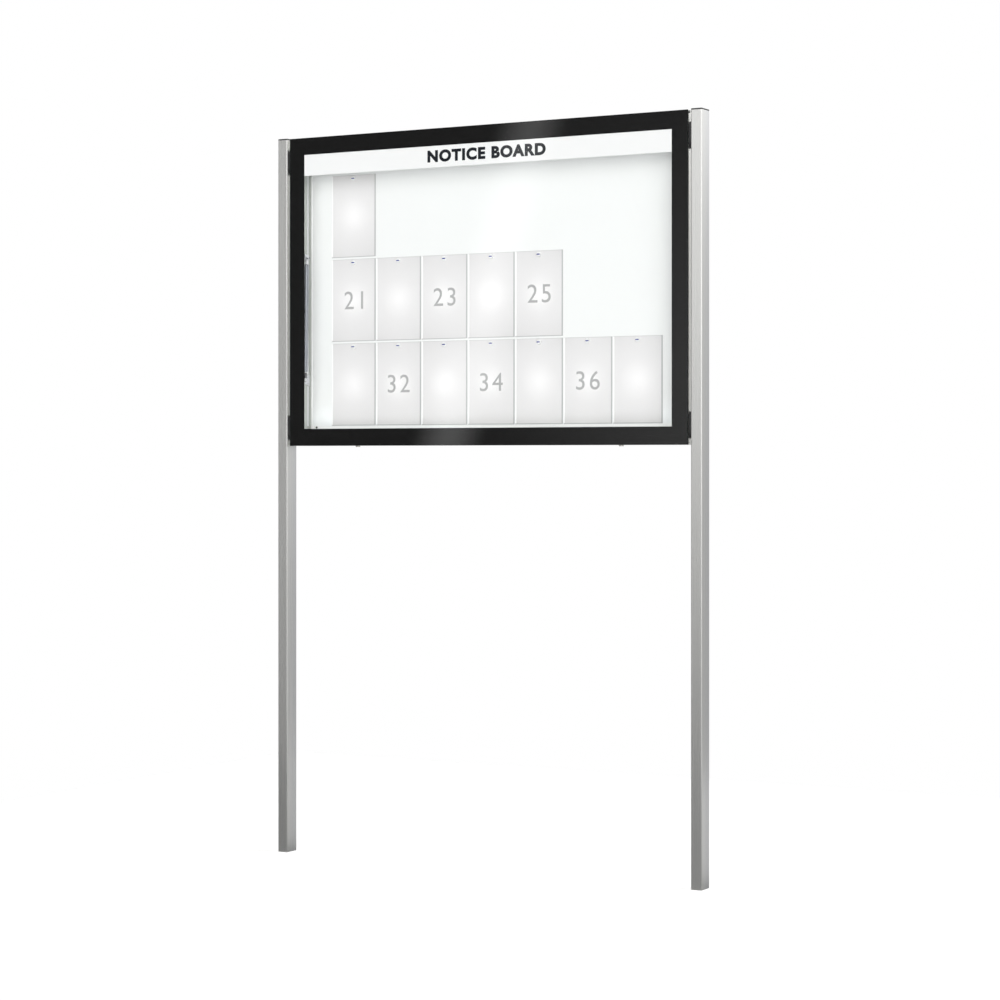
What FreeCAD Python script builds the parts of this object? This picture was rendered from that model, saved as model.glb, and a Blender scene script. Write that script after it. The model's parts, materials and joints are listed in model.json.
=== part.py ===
import FreeCAD, Part
import math
import os
import re
import Sketcher

# Lockable notice board: a shallow display case between two posts, closed by one top-hung glass door.
# X runs along the board, Y from its front to its back, Z up. The origin lies on the ground, midway
# between the posts and midway through the depth of the case.

V = FreeCAD.Vector
HAIR = 1e-6  # a length that counts as nothing
ROUGH_RADIUS = 10  # how far out a sketch's corners start
doc = FreeCAD.newDocument("LockableNoticeBoard")
sheet = doc.addObject("Spreadsheet::Sheet", "Sizes")
parts = []


# Every size that can be set by itself, in millimetres. Depths count from the front of the glass,
# insets from the outer edges of the door, and drops down from its top edge.
SIZES = {
    # Case and posts.
    "door_width": 1590,
    "door_height": 1110,
    "door_above_post": 2,
    "case_depth": 100,
    "post_gap": 11,
    "post_width": 40,
    "post_depth": 60,
    "post_height": 2580,
    "post_wall": 3,
    "post_corner": 3.5,
    "cap_height": 5,
    "cap_edge": 1.5,
    "cap_plug": 20,
    "cap_clearance": 0.2,
    # Case profile: a hollow extrusion, mitred at the corners. Depths count from the front of the glass.
    "profile_width": 36,
    "profile_front": 7,
    "profile_wall": 2,
    "rear_lip": 24,
    "back_recess": 5,
    "bead_front": 72,
    "bead_width": 4,
    "bead_height": 2,
    "ledge_reach": 64,
    "ledge_thickness": 2,
    "cleat_leg": 60,
    "cleat_depth": 45,
    "cleat_thickness": 30,
    "cleat_clearance": 0.15,
    # Back of the case.
    "back_sheet_thickness": 1.5,
    "back_sheet_clearance": 0.5,
    "rivet_radius": 1.6,
    "rivet_head_radius": 3.2,
    "rivet_head_height": 1.6,
    "rivet_inset": 7,
    # Tray, panel, sheets and magnets.
    "panel_depth": 88,
    "panel_thickness": 1.5,
    "panel_side_margin": 42,
    "panel_end_margin": 72,
    "tray_thickness": 1.5,
    "tray_clearance": 0.5,
    "screw_side_inset": 57.5,
    "screw_end_inset": 67,
    "screw_cap_radius": 3.5,
    "screw_cap_height": 3,
    "screw_shank_radius": 2,
    "notice_width": 187.5,
    "notice_height": 297,
    "notice_thickness": 0.3,
    "notice_gap": 3,
    "notice_row_gap": 6.5,
    "notice_left_inset": 125,
    "notice_top_inset": 133,
    "magnet_radius": 8.5,
    "magnet_height": 7,
    "magnet_edge": 0.8,
    "magnet_inset": 13,
    # Spacers, bolts and rivet nuts between case and posts.
    "spacer_height": 90,
    "spacer_depth": 45,
    "spacer_front": 5,
    "spacer_corner": 20,
    "spacer_top_inset": 82,
    "spacer_bottom_inset": 66,
    "bolt_radius": 4,
    "bolt_clearance": 0.5,
    "bolt_spread": 44,
    "bolt_end": 10,
    "bolt_head_radius": 7.5,
    "bolt_head_height": 5.3,
    "nut_body_radius": 5.5,
    "nut_body_length": 15,
    "nut_bulge_radius": 8,
    "nut_bulge_length": 4,
    "thread_clearance": 0.05,
    # Door: glass, print, tape and the angle frame bonded to it.
    "glass_thickness": 4,
    "glass_edge": 0.4,
    "border_width": 61,
    "print_thickness": 0.2,
    "tape_thickness": 0.5,
    "frame_inset": 38,
    "flange_width": 19,
    "flange_thickness": 1.8,
    "web_depth": 12,
    "web_thickness": 2.3,
    "frame_cleat_leg": 40,
    "frame_cleat_depth": 5,
    "frame_cleat_thickness": 2,
    "header_height": 78.5,
    "header_thickness": 2,
    "header_side_gap": 1,
    "seal_inset": 12,
    "seal_width": 8,
    "seal_gap": 0.2,
    # Hinge along the top edge.
    "hinge_depth": 11.2,
    "hinge_drop": 6,
    "knuckle_radius": 4.5,
    "knuckle_pitch": 100,
    "knuckle_gap": 0.6,
    "rebate_clearance": 0.5,
    "pin_radius": 2,
    "pin_clearance": 0.06,
    # Gas struts. Drops count down from the top of the door.
    "strut_inset": 48.5,
    "strut_low_depth": 29,
    "strut_low_drop": 872,
    "strut_high_depth": 37,
    "strut_high_drop": 430,
    "cylinder_radius": 9,
    "cylinder_wall": 1.5,
    "cylinder_start": 30,
    "cylinder_guide": 25,
    "cylinder_cap": 10,
    "rod_radius": 4,
    "rod_clearance": 0.06,
    "piston_length": 12,
    "piston_end_gap": 3,
    "eye_radius": 11,
    "eye_thickness": 8,
    "eye_neck": 12,
    "eye_neck_radius": 3.6,
    "socket_radius": 8,
    "socket_floor": 2,
    "socket_sleeve": 18,
    "socket_sleeve_radius": 5.5,
    "stud_radius": 4,
    "stud_gap": 0.4,
    "stud_reach": 6,
    "bracket_thickness": 2.5,
    "bracket_base": 40,
    "bracket_foot_depth": 70,
    "bracket_nose": 8,
    "ear_thickness": 2.5,
    "ear_half_height": 13,
    "ear_margin": 9,
    "screw_radius": 1.5,
    "screw_head_radius": 2.6,
    "screw_head_height": 1.8,
    "bracket_screw_depth": 60,
    "bracket_screw_spread": 24,
    "ear_screw_inset": 46,
    "ear_screw_spread": 16,
    # Locks in the underside and their keepers on the door.
    "lock_inset": 267,
    "lock_depth": 41,
    "lock_body_radius": 7,
    "lock_head_radius": 8,
    "lock_head_height": 4.5,
    "lock_head_edge": 0.8,
    "lock_clearance": 0.1,
    "lock_nut_radius": 11,
    "lock_nut_height": 3.5,
    "plug_radius": 5,
    "plug_clearance": 0.05,
    "plug_shoulder": 8,
    "plug_recess": 0.5,
    "key_slot_width": 1.8,
    "key_slot_length": 6.5,
    "key_slot_depth": 12,
    "cam_width": 14,
    "cam_reach": 28,
    "cam_thickness": 2.5,
    "cam_square": 6,
    "cam_square_clearance": 0.1,
    "cam_screw_radius": 2,
    "cam_screw_depth": 8,
    "cam_screw_head_radius": 4,
    "cam_screw_head_height": 2.4,
    "keeper_offset": 10,
    "keeper_width": 16,
    "keeper_thickness": 2.3,
    "keeper_rise": 2.2,
    "keeper_gap": 0.7,
    "keeper_foot_low": 3,
    "keeper_foot_high": 5,
    "keeper_overlap": 1,
    "keeper_screw_inset": 45.7,
}

# Worked out from the sizes above.
WORKED_OUT = {
    "front_y": "-case_depth / 2",
    "door_top": "post_height + door_above_post",
    "door_bottom": "door_top - door_height",
    "post_inner_x": "door_width / 2 + post_gap",
    "rebate_height": "hinge_drop + knuckle_radius + rebate_clearance",
    "rebate_back": "hinge_depth + knuckle_radius + 2 * rebate_clearance",
    "back_depth": "case_depth - back_recess",
    "ledge_depth": "panel_depth + panel_thickness + tray_thickness",
    "print_depth": "glass_thickness + print_thickness",
    "flange_depth": "print_depth + tape_thickness",
    "flange_back": "flange_depth + flange_thickness",
    "flange_reach": "frame_inset + flange_width",
    "frame_width": "door_width - 2 * frame_inset",
    "frame_height": "door_height - 2 * frame_inset",
    "knuckle_pairs": "floor((frame_width / knuckle_pitch - 1) / 2)",
    "hinge_length": "(2 * knuckle_pairs + 1) * knuckle_pitch",
    "strut_rise": "strut_low_drop - strut_high_drop",
    "strut_run": "strut_high_depth - strut_low_depth",
    "strut_length": "sqrt(strut_rise * strut_rise + strut_run * strut_run)",
    "cylinder_end": "strut_length - eye_radius - eye_neck",
    "bore_radius": "cylinder_radius - cylinder_wall",
    "bore_start": "cylinder_start + cylinder_guide",
    "bore_end": "cylinder_end - cylinder_cap",
    "cam_height": "profile_width + plug_shoulder",
    "keeper_arm": "cam_height + cam_thickness + keeper_rise",
    "keeper_lip": "lock_depth + cam_width / 2 + keeper_gap",
}


def enter(row, alias, content):
    """Enter one size or formula in a row of the sheet and give its cell the alias."""
    sheet.set(f"A{row}", alias)
    sheet.set(f"B{row}", content)
    sheet.setAlias(f"B{row}", alias)


for row, (alias, number) in enumerate(SIZES.items(), 1):
    enter(row, alias, str(number))
for row, (alias, text) in enumerate(WORKED_OUT.items(), len(SIZES) + 1):
    enter(row, alias, f"={text}")
doc.recompute()


def formula(text):
    """Write the sheet's name before every size in an expression."""
    return re.sub(r"(?<![\w.])(?!sqrt|atan|floor)([a-z]\w*)", r"Sizes.\1", text)


def bind(thing, path, text):
    thing.setExpression(path, formula(text))


def place(thing, x="0", y="0", z="0", turn=None):
    """Turn an object, then bind where it stands to the sheet."""
    if turn:
        thing.Placement = FreeCAD.Placement(V(), turn)
    bind(thing, "Placement.Base.x", x)
    bind(thing, "Placement.Base.y", y)
    bind(thing, "Placement.Base.z", z)


def turned(axis, degrees):
    return FreeCAD.Rotation(axis, degrees)


ALONG = {"x": turned(V(0, 1, 0), 90), "y": turned(V(1, 0, 0), -90), "z": FreeCAD.Rotation()}


def keep(thing, label):
    """Name an object as one sub-part of the board."""
    thing.Label = label
    parts.append(thing)
    return thing


def new_body(label):
    return keep(doc.addObject("PartDesign::Body", "Body"), label)


def origin_feature(body, role):
    return next(item for item in body.Origin.OriginFeatures if item.Role == role)


def new_sketch(body, role, height=None):
    sketch = body.newObject("Sketcher::SketchObject", "Sketch")
    sketch.AttachmentSupport = [(origin_feature(body, role), "")]
    sketch.MapMode = "FlatFace"
    if height:
        bind(sketch, "AttachmentOffset.Base.z", height)
    return sketch


def hold_point(sketch, geometry, point, x, y):
    """Hold a point of the sketch at bound distances from the sketch's origin."""
    for kind, text in (("DistanceX", x), ("DistanceY", y)):
        index = sketch.addConstraint(Sketcher.Constraint(kind, -1, 1, geometry, point, 1.0))
        sketch.renameConstraint(index, f"{kind}{index}")
        bind(sketch, f"Constraints.{kind}{index}", text)


def draw_polygon(sketch, corners):
    """Draw a rough closed outline, then hold its corners at points given as pairs of expressions."""
    first = sketch.GeometryCount
    count = len(corners)
    turns = [2 * math.pi * index / count for index in range(count)]
    start = [V(math.cos(turn), math.sin(turn), 0) * ROUGH_RADIUS for turn in turns]
    for index in range(count):
        sketch.addGeometry(Part.LineSegment(start[index], start[(index + 1) % count]), False)
    for index in range(count):
        after = first + (index + 1) % count
        sketch.addConstraint(Sketcher.Constraint("Coincident", first + index, 2, after, 1))
    for index, (x, y) in enumerate(corners):
        hold_point(sketch, first + index, 1, x, y)


def draw_rectangle(sketch, x0, y0, x1, y1):
    draw_polygon(sketch, [(x0, y0), (x1, y0), (x1, y1), (x0, y1)])


def draw_circle(sketch, x, y, radius):
    circle = sketch.addGeometry(Part.Circle(V(1, 1, 0), V(0, 0, 1), 1.0), False)
    hold_point(sketch, circle, 3, x, y)
    index = sketch.addConstraint(Sketcher.Constraint("Radius", circle, 1.0))
    sketch.renameConstraint(index, f"Radius{index}")
    bind(sketch, f"Constraints.Radius{index}", radius)


def pad(body, sketch, length, symmetric=False, reverse=False):
    feature = body.newObject("PartDesign::Pad", "Pad")
    feature.Profile = sketch
    feature.SideType = "Symmetric" if symmetric else "One side"
    feature.Reversed = reverse
    bind(feature, "Length", length)
    return feature


def pocket(body, sketch, length=None, reverse=False):
    """Cut a sketch through everything both ways, or to a length one way."""
    feature = body.newObject("PartDesign::Pocket", "Pocket")
    feature.Profile = sketch
    if length:
        feature.Reversed = reverse
        bind(feature, "Length", length)
    else:
        feature.SideType = "Symmetric"
        feature.Type = "ThroughAll"
    return feature


def revolve(body, sketch):
    feature = body.newObject("PartDesign::Revolution", "Revolution")
    feature.Profile = sketch
    feature.ReferenceAxis = (origin_feature(body, "Z_Axis"), [""])
    feature.Angle = 360
    return feature


def repeat_along_x(body, features, spacing, count):
    pattern = body.newObject("PartDesign::LinearPattern", "Pattern")
    pattern.Originals = features
    pattern.Direction = (origin_feature(body, "X_Axis"), [""])
    pattern.Mode = "Spacing"
    bind(pattern, "Offset", spacing)
    bind(pattern, "Occurrences", count)
    body.Tip = pattern
    return pattern


def round_edges(body, feature, radius, wanted):
    """Fillet the edges of a feature that a test picks out."""
    doc.recompute()
    edges = feature.Shape.Edges
    names = [f"Edge{index + 1}" for index, edge in enumerate(edges) if wanted(edge)]
    fillet = body.newObject("PartDesign::Fillet", "Fillet")
    fillet.Base = (feature, names)
    bind(fillet, "Radius", radius)
    return fillet


def runs_along(axis):
    """Give a test for straight edges parallel to an axis."""
    def test(edge):
        ends = [vertex.Point for vertex in edge.Vertexes]
        return len(ends) == 2 and (ends[1] - ends[0]).normalize().cross(axis).Length < HAIR
    return test


def box(x, y, z, width, depth, height):
    block = doc.addObject("Part::Box", "Box")
    bind(block, "Length", width)
    bind(block, "Width", depth)
    bind(block, "Height", height)
    place(block, x, y, z)
    return block


def rod(x, y, z, radius, length, direction):
    """Make a cylinder that starts at a point and runs along x, y or z."""
    cylinder = doc.addObject("Part::Cylinder", "Cylinder")
    bind(cylinder, "Radius", radius)
    bind(cylinder, "Height", length)
    place(cylinder, x, y, z, ALONG[direction])
    return cylinder


def hexagon(x, y, z, radius, length, direction):
    prism = doc.addObject("Part::Prism", "Prism")
    prism.Polygon = 6
    bind(prism, "Circumradius", radius)
    bind(prism, "Height", length)
    place(prism, x, y, z, ALONG[direction])
    return prism


def fuse(*things):
    joined = doc.addObject("Part::MultiFuse", "Fusion")
    joined.Shapes = list(things)
    return joined


def cut(base, tool):
    result = doc.addObject("Part::Cut", "Cut")
    result.Base = base
    result.Tool = tool
    return result


def group(label, things):
    """Keep separate solids together as one sub-part."""
    bundle = doc.addObject("Part::Compound", "Group")
    bundle.Links = things
    return keep(bundle, label)


SIDES = (("left", "-1"), ("right", "1"))
SPACER_HEIGHTS = ("door_top - spacer_top_inset", "door_bottom + spacer_bottom_inset")
BOLT_HEIGHTS = [f"{middle} {sign} bolt_spread / 2" for middle in SPACER_HEIGHTS for sign in "+-"]
BOLT_Y = "front_y + post_depth / 2"


def inner_x(side, length):
    """Low X of a bar of a given length that starts at a post's inner face and runs outwards."""
    return "post_inner_x" if side == "1" else f"-post_inner_x - {length}"


def make_post(name, side):
    """Rounded rectangular tube with four holes in its inner wall for the rivet nuts."""
    body = new_body(f"post_{name}")
    outline = new_sketch(body, "XY_Plane")
    draw_rectangle(outline, "-post_width / 2", "0", "post_width / 2", "post_depth")
    tube = pad(body, outline, "post_height")
    round_edges(body, tube, "post_corner", runs_along(V(0, 0, 1)))
    hollow = new_sketch(body, "XY_Plane")
    draw_rectangle(hollow, "-post_width / 2 + post_wall", "post_wall",
                   "post_width / 2 - post_wall", "post_depth - post_wall")
    pocket(body, hollow)
    holes = new_sketch(body, "YZ_Plane")
    for height in BOLT_HEIGHTS:
        draw_circle(holes, "post_depth / 2", height, "nut_body_radius")
    pocket(body, holes, "post_width", reverse=(side == "-1"))
    place(body, f"{side} * (post_inner_x + post_width / 2)", "front_y")


def make_cap(name, side):
    """Moulded cap: a rounded plate with a plug that fills the mouth of the tube."""
    body = new_body(f"post_cap_{name}")
    outline = new_sketch(body, "XY_Plane")
    draw_rectangle(outline, "-post_width / 2", "0", "post_width / 2", "post_depth")
    plate = pad(body, outline, "cap_height")
    corners = round_edges(body, plate, "post_corner", runs_along(V(0, 0, 1)))
    doc.recompute()
    top = corners.Shape.BoundBox.ZMax
    round_edges(body, corners, "cap_edge", lambda edge: edge.BoundBox.ZMin > top - HAIR)
    mouth = new_sketch(body, "XY_Plane")
    inset = "post_wall + cap_clearance"
    draw_rectangle(mouth, f"-post_width / 2 + {inset}", inset, f"post_width / 2 - ({inset})",
                   f"post_depth - ({inset})")
    pad(body, mouth, "cap_plug", reverse=True)
    place(body, f"{side} * (post_inner_x + post_width / 2)", "front_y", "post_height")


def make_spacers(name, side):
    """Two rounded plastic blocks between the side of the case and the post."""
    blocks = []
    for middle in SPACER_HEIGHTS:
        body = doc.addObject("PartDesign::Body", "Spacer")
        outline = new_sketch(body, "YZ_Plane")
        draw_rectangle(outline, "spacer_front", "-spacer_height / 2",
                       "spacer_front + spacer_depth", "spacer_height / 2")
        block = pad(body, outline, "post_gap")
        round_edges(body, block, "spacer_corner", runs_along(V(1, 0, 0)))
        holes = new_sketch(body, "YZ_Plane")
        for sign in "+-":
            draw_circle(holes, "post_depth / 2", f"0 {sign} bolt_spread / 2",
                        "bolt_radius + bolt_clearance")
        pocket(body, holes)
        low = "door_width / 2" if side == "1" else "-post_inner_x"
        place(body, low, "front_y", middle)
        blocks.append(body)
    group(f"spacers_{name}", blocks)


def make_bolts():
    """Hexagon bolts, heads inside the case profile, that hold the case to the posts."""
    bolts = []
    for name, side in SIDES:
        for height in BOLT_HEIGHTS:
            wall = "door_width / 2 - profile_wall"
            reach = "profile_wall + post_gap + post_wall + bolt_end"
            shank_x = wall if side == "1" else f"-({wall}) - ({reach})"
            head_x = f"{wall} - bolt_head_height" if side == "1" else f"-({wall})"
            shank = rod(shank_x, BOLT_Y, height, "bolt_radius", reach, "x")
            head = hexagon(head_x, BOLT_Y, height, "bolt_head_radius", "bolt_head_height", "x")
            bolts.append(fuse(shank, head))
    group("case_bolts", bolts)


def make_rivet_nuts():
    """Threaded sleeves pulled tight behind the inner wall of each post."""
    nuts = []
    for name, side in SIDES:
        for height in BOLT_HEIGHTS:
            bulge_x = "post_inner_x + post_wall"
            if side == "-1":
                bulge_x = f"-({bulge_x}) - nut_bulge_length"
            start = inner_x(side, "nut_body_length")
            sleeve = rod(start, BOLT_Y, height, "nut_body_radius", "nut_body_length", "x")
            bulge = rod(bulge_x, BOLT_Y, height, "nut_bulge_radius", "nut_bulge_length", "x")
            thread = rod(start, BOLT_Y, height, "bolt_radius + thread_clearance", "nut_body_length", "x")
            nuts.append(cut(fuse(sleeve, bulge), thread))
    group("post_rivet_nuts", nuts)


# Section of the case profile as pairs of depth from the glass front and distance from the outer face.
PROFILE_INSIDE = [
    ("case_depth", "0"), ("case_depth", "rear_lip"), ("back_depth", "rear_lip"),
    ("back_depth", "profile_width"), ("ledge_depth + ledge_thickness", "profile_width"),
    ("ledge_depth + ledge_thickness", "ledge_reach"), ("ledge_depth", "ledge_reach"),
    ("ledge_depth", "profile_width"), ("bead_front + bead_width", "profile_width"),
    ("bead_front + bead_width", "profile_width + bead_height"),
    ("bead_front", "profile_width + bead_height"), ("bead_front", "profile_width"),
    ("profile_front", "profile_width"),
]
CHAMBER_INSIDE = [
    ("case_depth - profile_wall", "profile_wall"),
    ("case_depth - profile_wall", "rear_lip - profile_wall"),
    ("back_depth - profile_wall", "rear_lip - profile_wall"),
    ("back_depth - profile_wall", "profile_width - profile_wall"),
    ("profile_front + profile_wall", "profile_width - profile_wall"),
]
PLAIN_FRONT = [("profile_front", "0")]
PLAIN_CHAMBER = [("profile_front + profile_wall", "profile_wall")]
REBATED_FRONT = [("profile_front", "rebate_height"), ("rebate_back", "rebate_height"), ("rebate_back", "0")]
REBATED_CHAMBER = [
    ("profile_front + profile_wall", "rebate_height + profile_wall"),
    ("rebate_back + profile_wall", "rebate_height + profile_wall"),
    ("rebate_back + profile_wall", "profile_wall"),
]

# Each member is drawn lying along X with its outer face down, then turned about Y into its place.
MEMBERS = {
    "bottom": (0, "0", "door_bottom"),
    "top": (180, "0", "door_top"),
    "left": (90, "-door_width / 2", "door_bottom + door_height / 2"),
    "right": (-90, "door_width / 2", "door_bottom + door_height / 2"),
}


def place_member(body, name):
    angle, x, z = MEMBERS[name]
    place(body, x, "front_y", z, turned(V(0, 1, 0), angle))


def mitre_ends(body, length, start):
    """Cut both ends of a member at 45 degrees, from a given distance off the outer face."""
    sketch = new_sketch(body, "XZ_Plane")
    reach = "2 * ledge_reach"
    for sign in ("-1", "1"):
        end = f"{sign} * ({length}) / 2"
        draw_polygon(sketch, [(end, start), (f"{end} + {sign} * ledge_reach", start),
                              (f"{end} + {sign} * ledge_reach", f"{start} + {reach}"),
                              (f"{end} - {sign} * {reach}", f"{start} + {reach}")])
    pocket(body, sketch)


def extrude_member(name, part, section, chamber, length, start):
    """Extrude one mitred member of a frame from its section."""
    body = new_body(part)
    sketch = new_sketch(body, "YZ_Plane")
    draw_polygon(sketch, section)
    if chamber:
        draw_polygon(sketch, chamber)
    pad(body, sketch, length, symmetric=True)
    mitre_ends(body, length, start)
    place_member(body, name)
    return body


def add_knuckles(body, first_x, count, foot_low, foot_high, bore):
    """Add a row of hinge knuckles, each a short barrel with a foot to the wall that carries it."""
    length = "knuckle_pitch - knuckle_gap"
    barrels = new_sketch(body, "YZ_Plane", first_x)
    draw_circle(barrels, "hinge_depth", "hinge_drop", "knuckle_radius")
    feet = new_sketch(body, "YZ_Plane", first_x)
    draw_rectangle(feet, foot_low, "hinge_drop", foot_high, "hinge_drop + knuckle_radius")
    both = [pad(body, barrels, length), pad(body, feet, length)]
    repeat_along_x(body, both, "2 * knuckle_pitch", count)
    hole = new_sketch(body, "YZ_Plane")
    draw_circle(hole, "hinge_depth", "hinge_drop", bore)
    pocket(body, hole)


def make_case_top():
    """Top member with a rebate along its front edge in which the fixed hinge knuckles stand."""
    body = extrude_member("top", "case_top", REBATED_FRONT + PROFILE_INSIDE,
                          REBATED_CHAMBER + CHAMBER_INSIDE, "door_width", "0")
    first = "-hinge_length / 2 + knuckle_gap / 2"
    add_knuckles(body, first, "knuckle_pairs + 1", "hinge_depth", "rebate_back + profile_wall / 2",
                 "pin_radius")


def make_case_bottom():
    """Bottom member with the two lock holes through both of its walls."""
    body = extrude_member("bottom", "case_bottom", PLAIN_FRONT + PROFILE_INSIDE,
                          PLAIN_CHAMBER + CHAMBER_INSIDE, "door_width", "0")
    holes = new_sketch(body, "XY_Plane")
    for sign in ("-1", "1"):
        draw_circle(holes, f"{sign} * (door_width / 2 - lock_inset)", "lock_depth",
                    "lock_body_radius + lock_clearance")
    pocket(body, holes)


def make_case_side(name, upward):
    """Side member, cut back at its top for the hinge rebate and drilled for the bolts."""
    body = extrude_member(name, f"case_{name}", PLAIN_FRONT + PROFILE_INSIDE,
                          PLAIN_CHAMBER + CHAMBER_INSIDE, "door_height", "0")
    notch = new_sketch(body, "XY_Plane")
    draw_rectangle(notch, f"{upward} * (door_height / 2 - rebate_height)", "0",
                   f"{upward} * (door_height / 2 + rebate_height)", "rebate_back")
    pocket(body, notch)
    holes = new_sketch(body, "XY_Plane")
    for height in BOLT_HEIGHTS:
        draw_circle(holes, f"{upward} * ({height} - door_bottom - door_height / 2)",
                    "post_depth / 2", "bolt_radius + bolt_clearance")
    pocket(body, holes, "2 * profile_wall", reverse=True)
    threads = new_sketch(body, "XY_Plane", "profile_width")
    for sign in "+-":
        height = f"door_height / 2 - strut_low_drop {sign} bracket_screw_spread / 2"
        draw_circle(threads, f"{upward} * ({height})", "bracket_screw_depth",
                    "screw_radius + thread_clearance")
    pocket(body, threads, "2 * profile_wall")


def make_corner_cleats():
    """Angle cleats pressed into the hollow profiles at the four corners of the case."""
    cleats = []
    low = "profile_wall + cleat_clearance"
    high = "profile_width - profile_wall - cleat_clearance"
    for x_sign in ("-1", "1"):
        for end, z_sign in (("door_bottom", "1"), ("door_top", "-1")):
            body = doc.addObject("PartDesign::Body", "Cleat")
            sketch = new_sketch(body, "XZ_Plane")
            corners = [(low, low), ("cleat_leg", low), ("cleat_leg", high), (high, high),
                       (high, "cleat_leg"), (low, "cleat_leg")]
            draw_polygon(sketch, [(f"{x_sign} * (door_width / 2 - ({x}))",
                                   f"{end} + {z_sign} * ({z})") for x, z in corners])
            pad(body, sketch, "cleat_thickness", reverse=True)
            place(body, "0", "front_y + cleat_depth")
            cleats.append(body)
    group("case_corner_cleats", cleats)


def rivet_points():
    """Places of the back sheet's rivets as pairs of expressions, evenly along each edge."""
    x_edge = "(door_width / 2 - rear_lip - rivet_inset)"
    z_edge = "(door_height / 2 - rear_lip - rivet_inset)"
    points = [(f"{share} * {x_edge}", f"{sign} * {z_edge}")
              for share in ("-1", "-0.5", "0", "0.5", "1") for sign in ("-1", "1")]
    points += [(f"{sign} * {x_edge}", "0") for sign in ("-1", "1")]
    return points


def make_back():
    """Back sheet in the rear recess of the profiles, and the rivets that hold it."""
    body = new_body("back_sheet")
    outline = new_sketch(body, "XZ_Plane")
    half_x = "door_width / 2 - rear_lip - back_sheet_clearance"
    half_z = "door_height / 2 - rear_lip - back_sheet_clearance"
    draw_rectangle(outline, f"-({half_x})", f"-({half_z})", half_x, half_z)
    pad(body, outline, "back_sheet_thickness", reverse=True)
    holes = new_sketch(body, "XZ_Plane")
    for x, z in rivet_points():
        draw_circle(holes, x, z, "rivet_radius")
    pocket(body, holes)
    place(body, "0", "front_y + back_depth", "door_bottom + door_height / 2")
    rivets = []
    for x, z in rivet_points():
        height = f"door_bottom + door_height / 2 + {z}"
        face = "front_y + back_depth"
        shank = rod(x, face, height, "rivet_radius", "back_sheet_thickness", "y")
        head = rod(x, f"{face} + back_sheet_thickness", height, "rivet_head_radius",
                   "rivet_head_height", "y")
        rivets.append(fuse(shank, head))
    group("back_rivets", rivets)


def make_panel():
    """White tray on the ledge of the profiles, its corner screws, and the magnetic panel on it."""
    tray = box("-door_width / 2 + profile_width + tray_clearance",
               "front_y + panel_depth + panel_thickness",
               "door_bottom + profile_width + tray_clearance",
               "door_width - 2 * (profile_width + tray_clearance)", "tray_thickness",
               "door_height - 2 * (profile_width + tray_clearance)")
    holes = []
    screws = []
    for x_sign in ("-1", "1"):
        for z in ("door_bottom + screw_end_inset", "door_top - screw_end_inset"):
            x = f"{x_sign} * (door_width / 2 - screw_side_inset)"
            face = "front_y + panel_depth + panel_thickness"
            holes.append(rod(x, face, z, "screw_shank_radius", "tray_thickness", "y"))
            shank = rod(x, face, z, "screw_shank_radius", "tray_thickness", "y")
            cap = rod(x, f"{face} - screw_cap_height", z, "screw_cap_radius", "screw_cap_height", "y")
            screws.append(fuse(shank, cap))
    keep(cut(tray, fuse(*holes)), "panel_tray")
    group("panel_screws", screws)
    panel = box("-door_width / 2 + panel_side_margin", "front_y + panel_depth",
                "door_bottom + panel_end_margin", "door_width - 2 * panel_side_margin",
                "panel_thickness", "door_height - 2 * panel_end_margin")
    keep(panel, "magnetic_panel")


# Places on the panel row by row, from the left. A cross marks a place with a sheet.
NOTICE_ROWS = {
    "top": "x......",
    "middle": "xxxxx..",
    "bottom": "xxxxxxx",
}


def notice_corner(row, column):
    """Left edge and top edge of the notice sheet in a row and column."""
    left = f"-door_width / 2 + notice_left_inset + {column} * (notice_width + notice_gap)"
    top = f"door_top - notice_top_inset - {row} * (notice_height + notice_row_gap)"
    return left, top


def make_notices():
    """Thirteen sheets in three rows on the panel, with one magnet at the head of each."""
    magnets = []
    for row, (name, places) in enumerate(NOTICE_ROWS.items()):
        notices = []
        for column in range(places.count("x")):
            left, top = notice_corner(row, column)
            notices.append(box(left, "front_y + panel_depth - notice_thickness",
                               f"{top} - notice_height", "notice_width", "notice_thickness",
                               "notice_height"))
            face = "front_y + panel_depth - notice_thickness"
            x = f"{left} + notice_width / 2"
            z = f"{top} - magnet_inset"
            foot = rod(x, f"{face} - magnet_height + magnet_edge", z, "magnet_radius",
                       "magnet_height - magnet_edge", "y")
            rim = doc.addObject("Part::Cone", "Cone")
            bind(rim, "Radius1", "magnet_radius - magnet_edge")
            bind(rim, "Radius2", "magnet_radius")
            bind(rim, "Height", "magnet_edge")
            place(rim, x, f"{face} - magnet_height", z, ALONG["y"])
            magnets.append(fuse(foot, rim))
        group(f"notices_{name}_row", notices)
    group("magnets", magnets)


def make_seal():
    """Rubber seal on the front of the case, along both sides and the bottom."""
    body = new_body("case_seal")
    sketch = new_sketch(body, "XZ_Plane")
    outer_x = "door_width / 2 - seal_inset"
    inner_x_text = "door_width / 2 - seal_inset - seal_width"
    low = "door_bottom + seal_inset"
    head = "door_top - rebate_height - rebate_clearance"
    draw_polygon(sketch, [(f"-({outer_x})", low), (outer_x, low), (outer_x, head),
                          (inner_x_text, head), (inner_x_text, f"{low} + seal_width"),
                          (f"-({inner_x_text})", f"{low} + seal_width"),
                          (f"-({inner_x_text})", head), (f"-({outer_x})", head)])
    pad(body, sketch, "profile_front - print_depth - seal_gap", reverse=True)
    place(body, "0", "front_y + print_depth + seal_gap")


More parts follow.
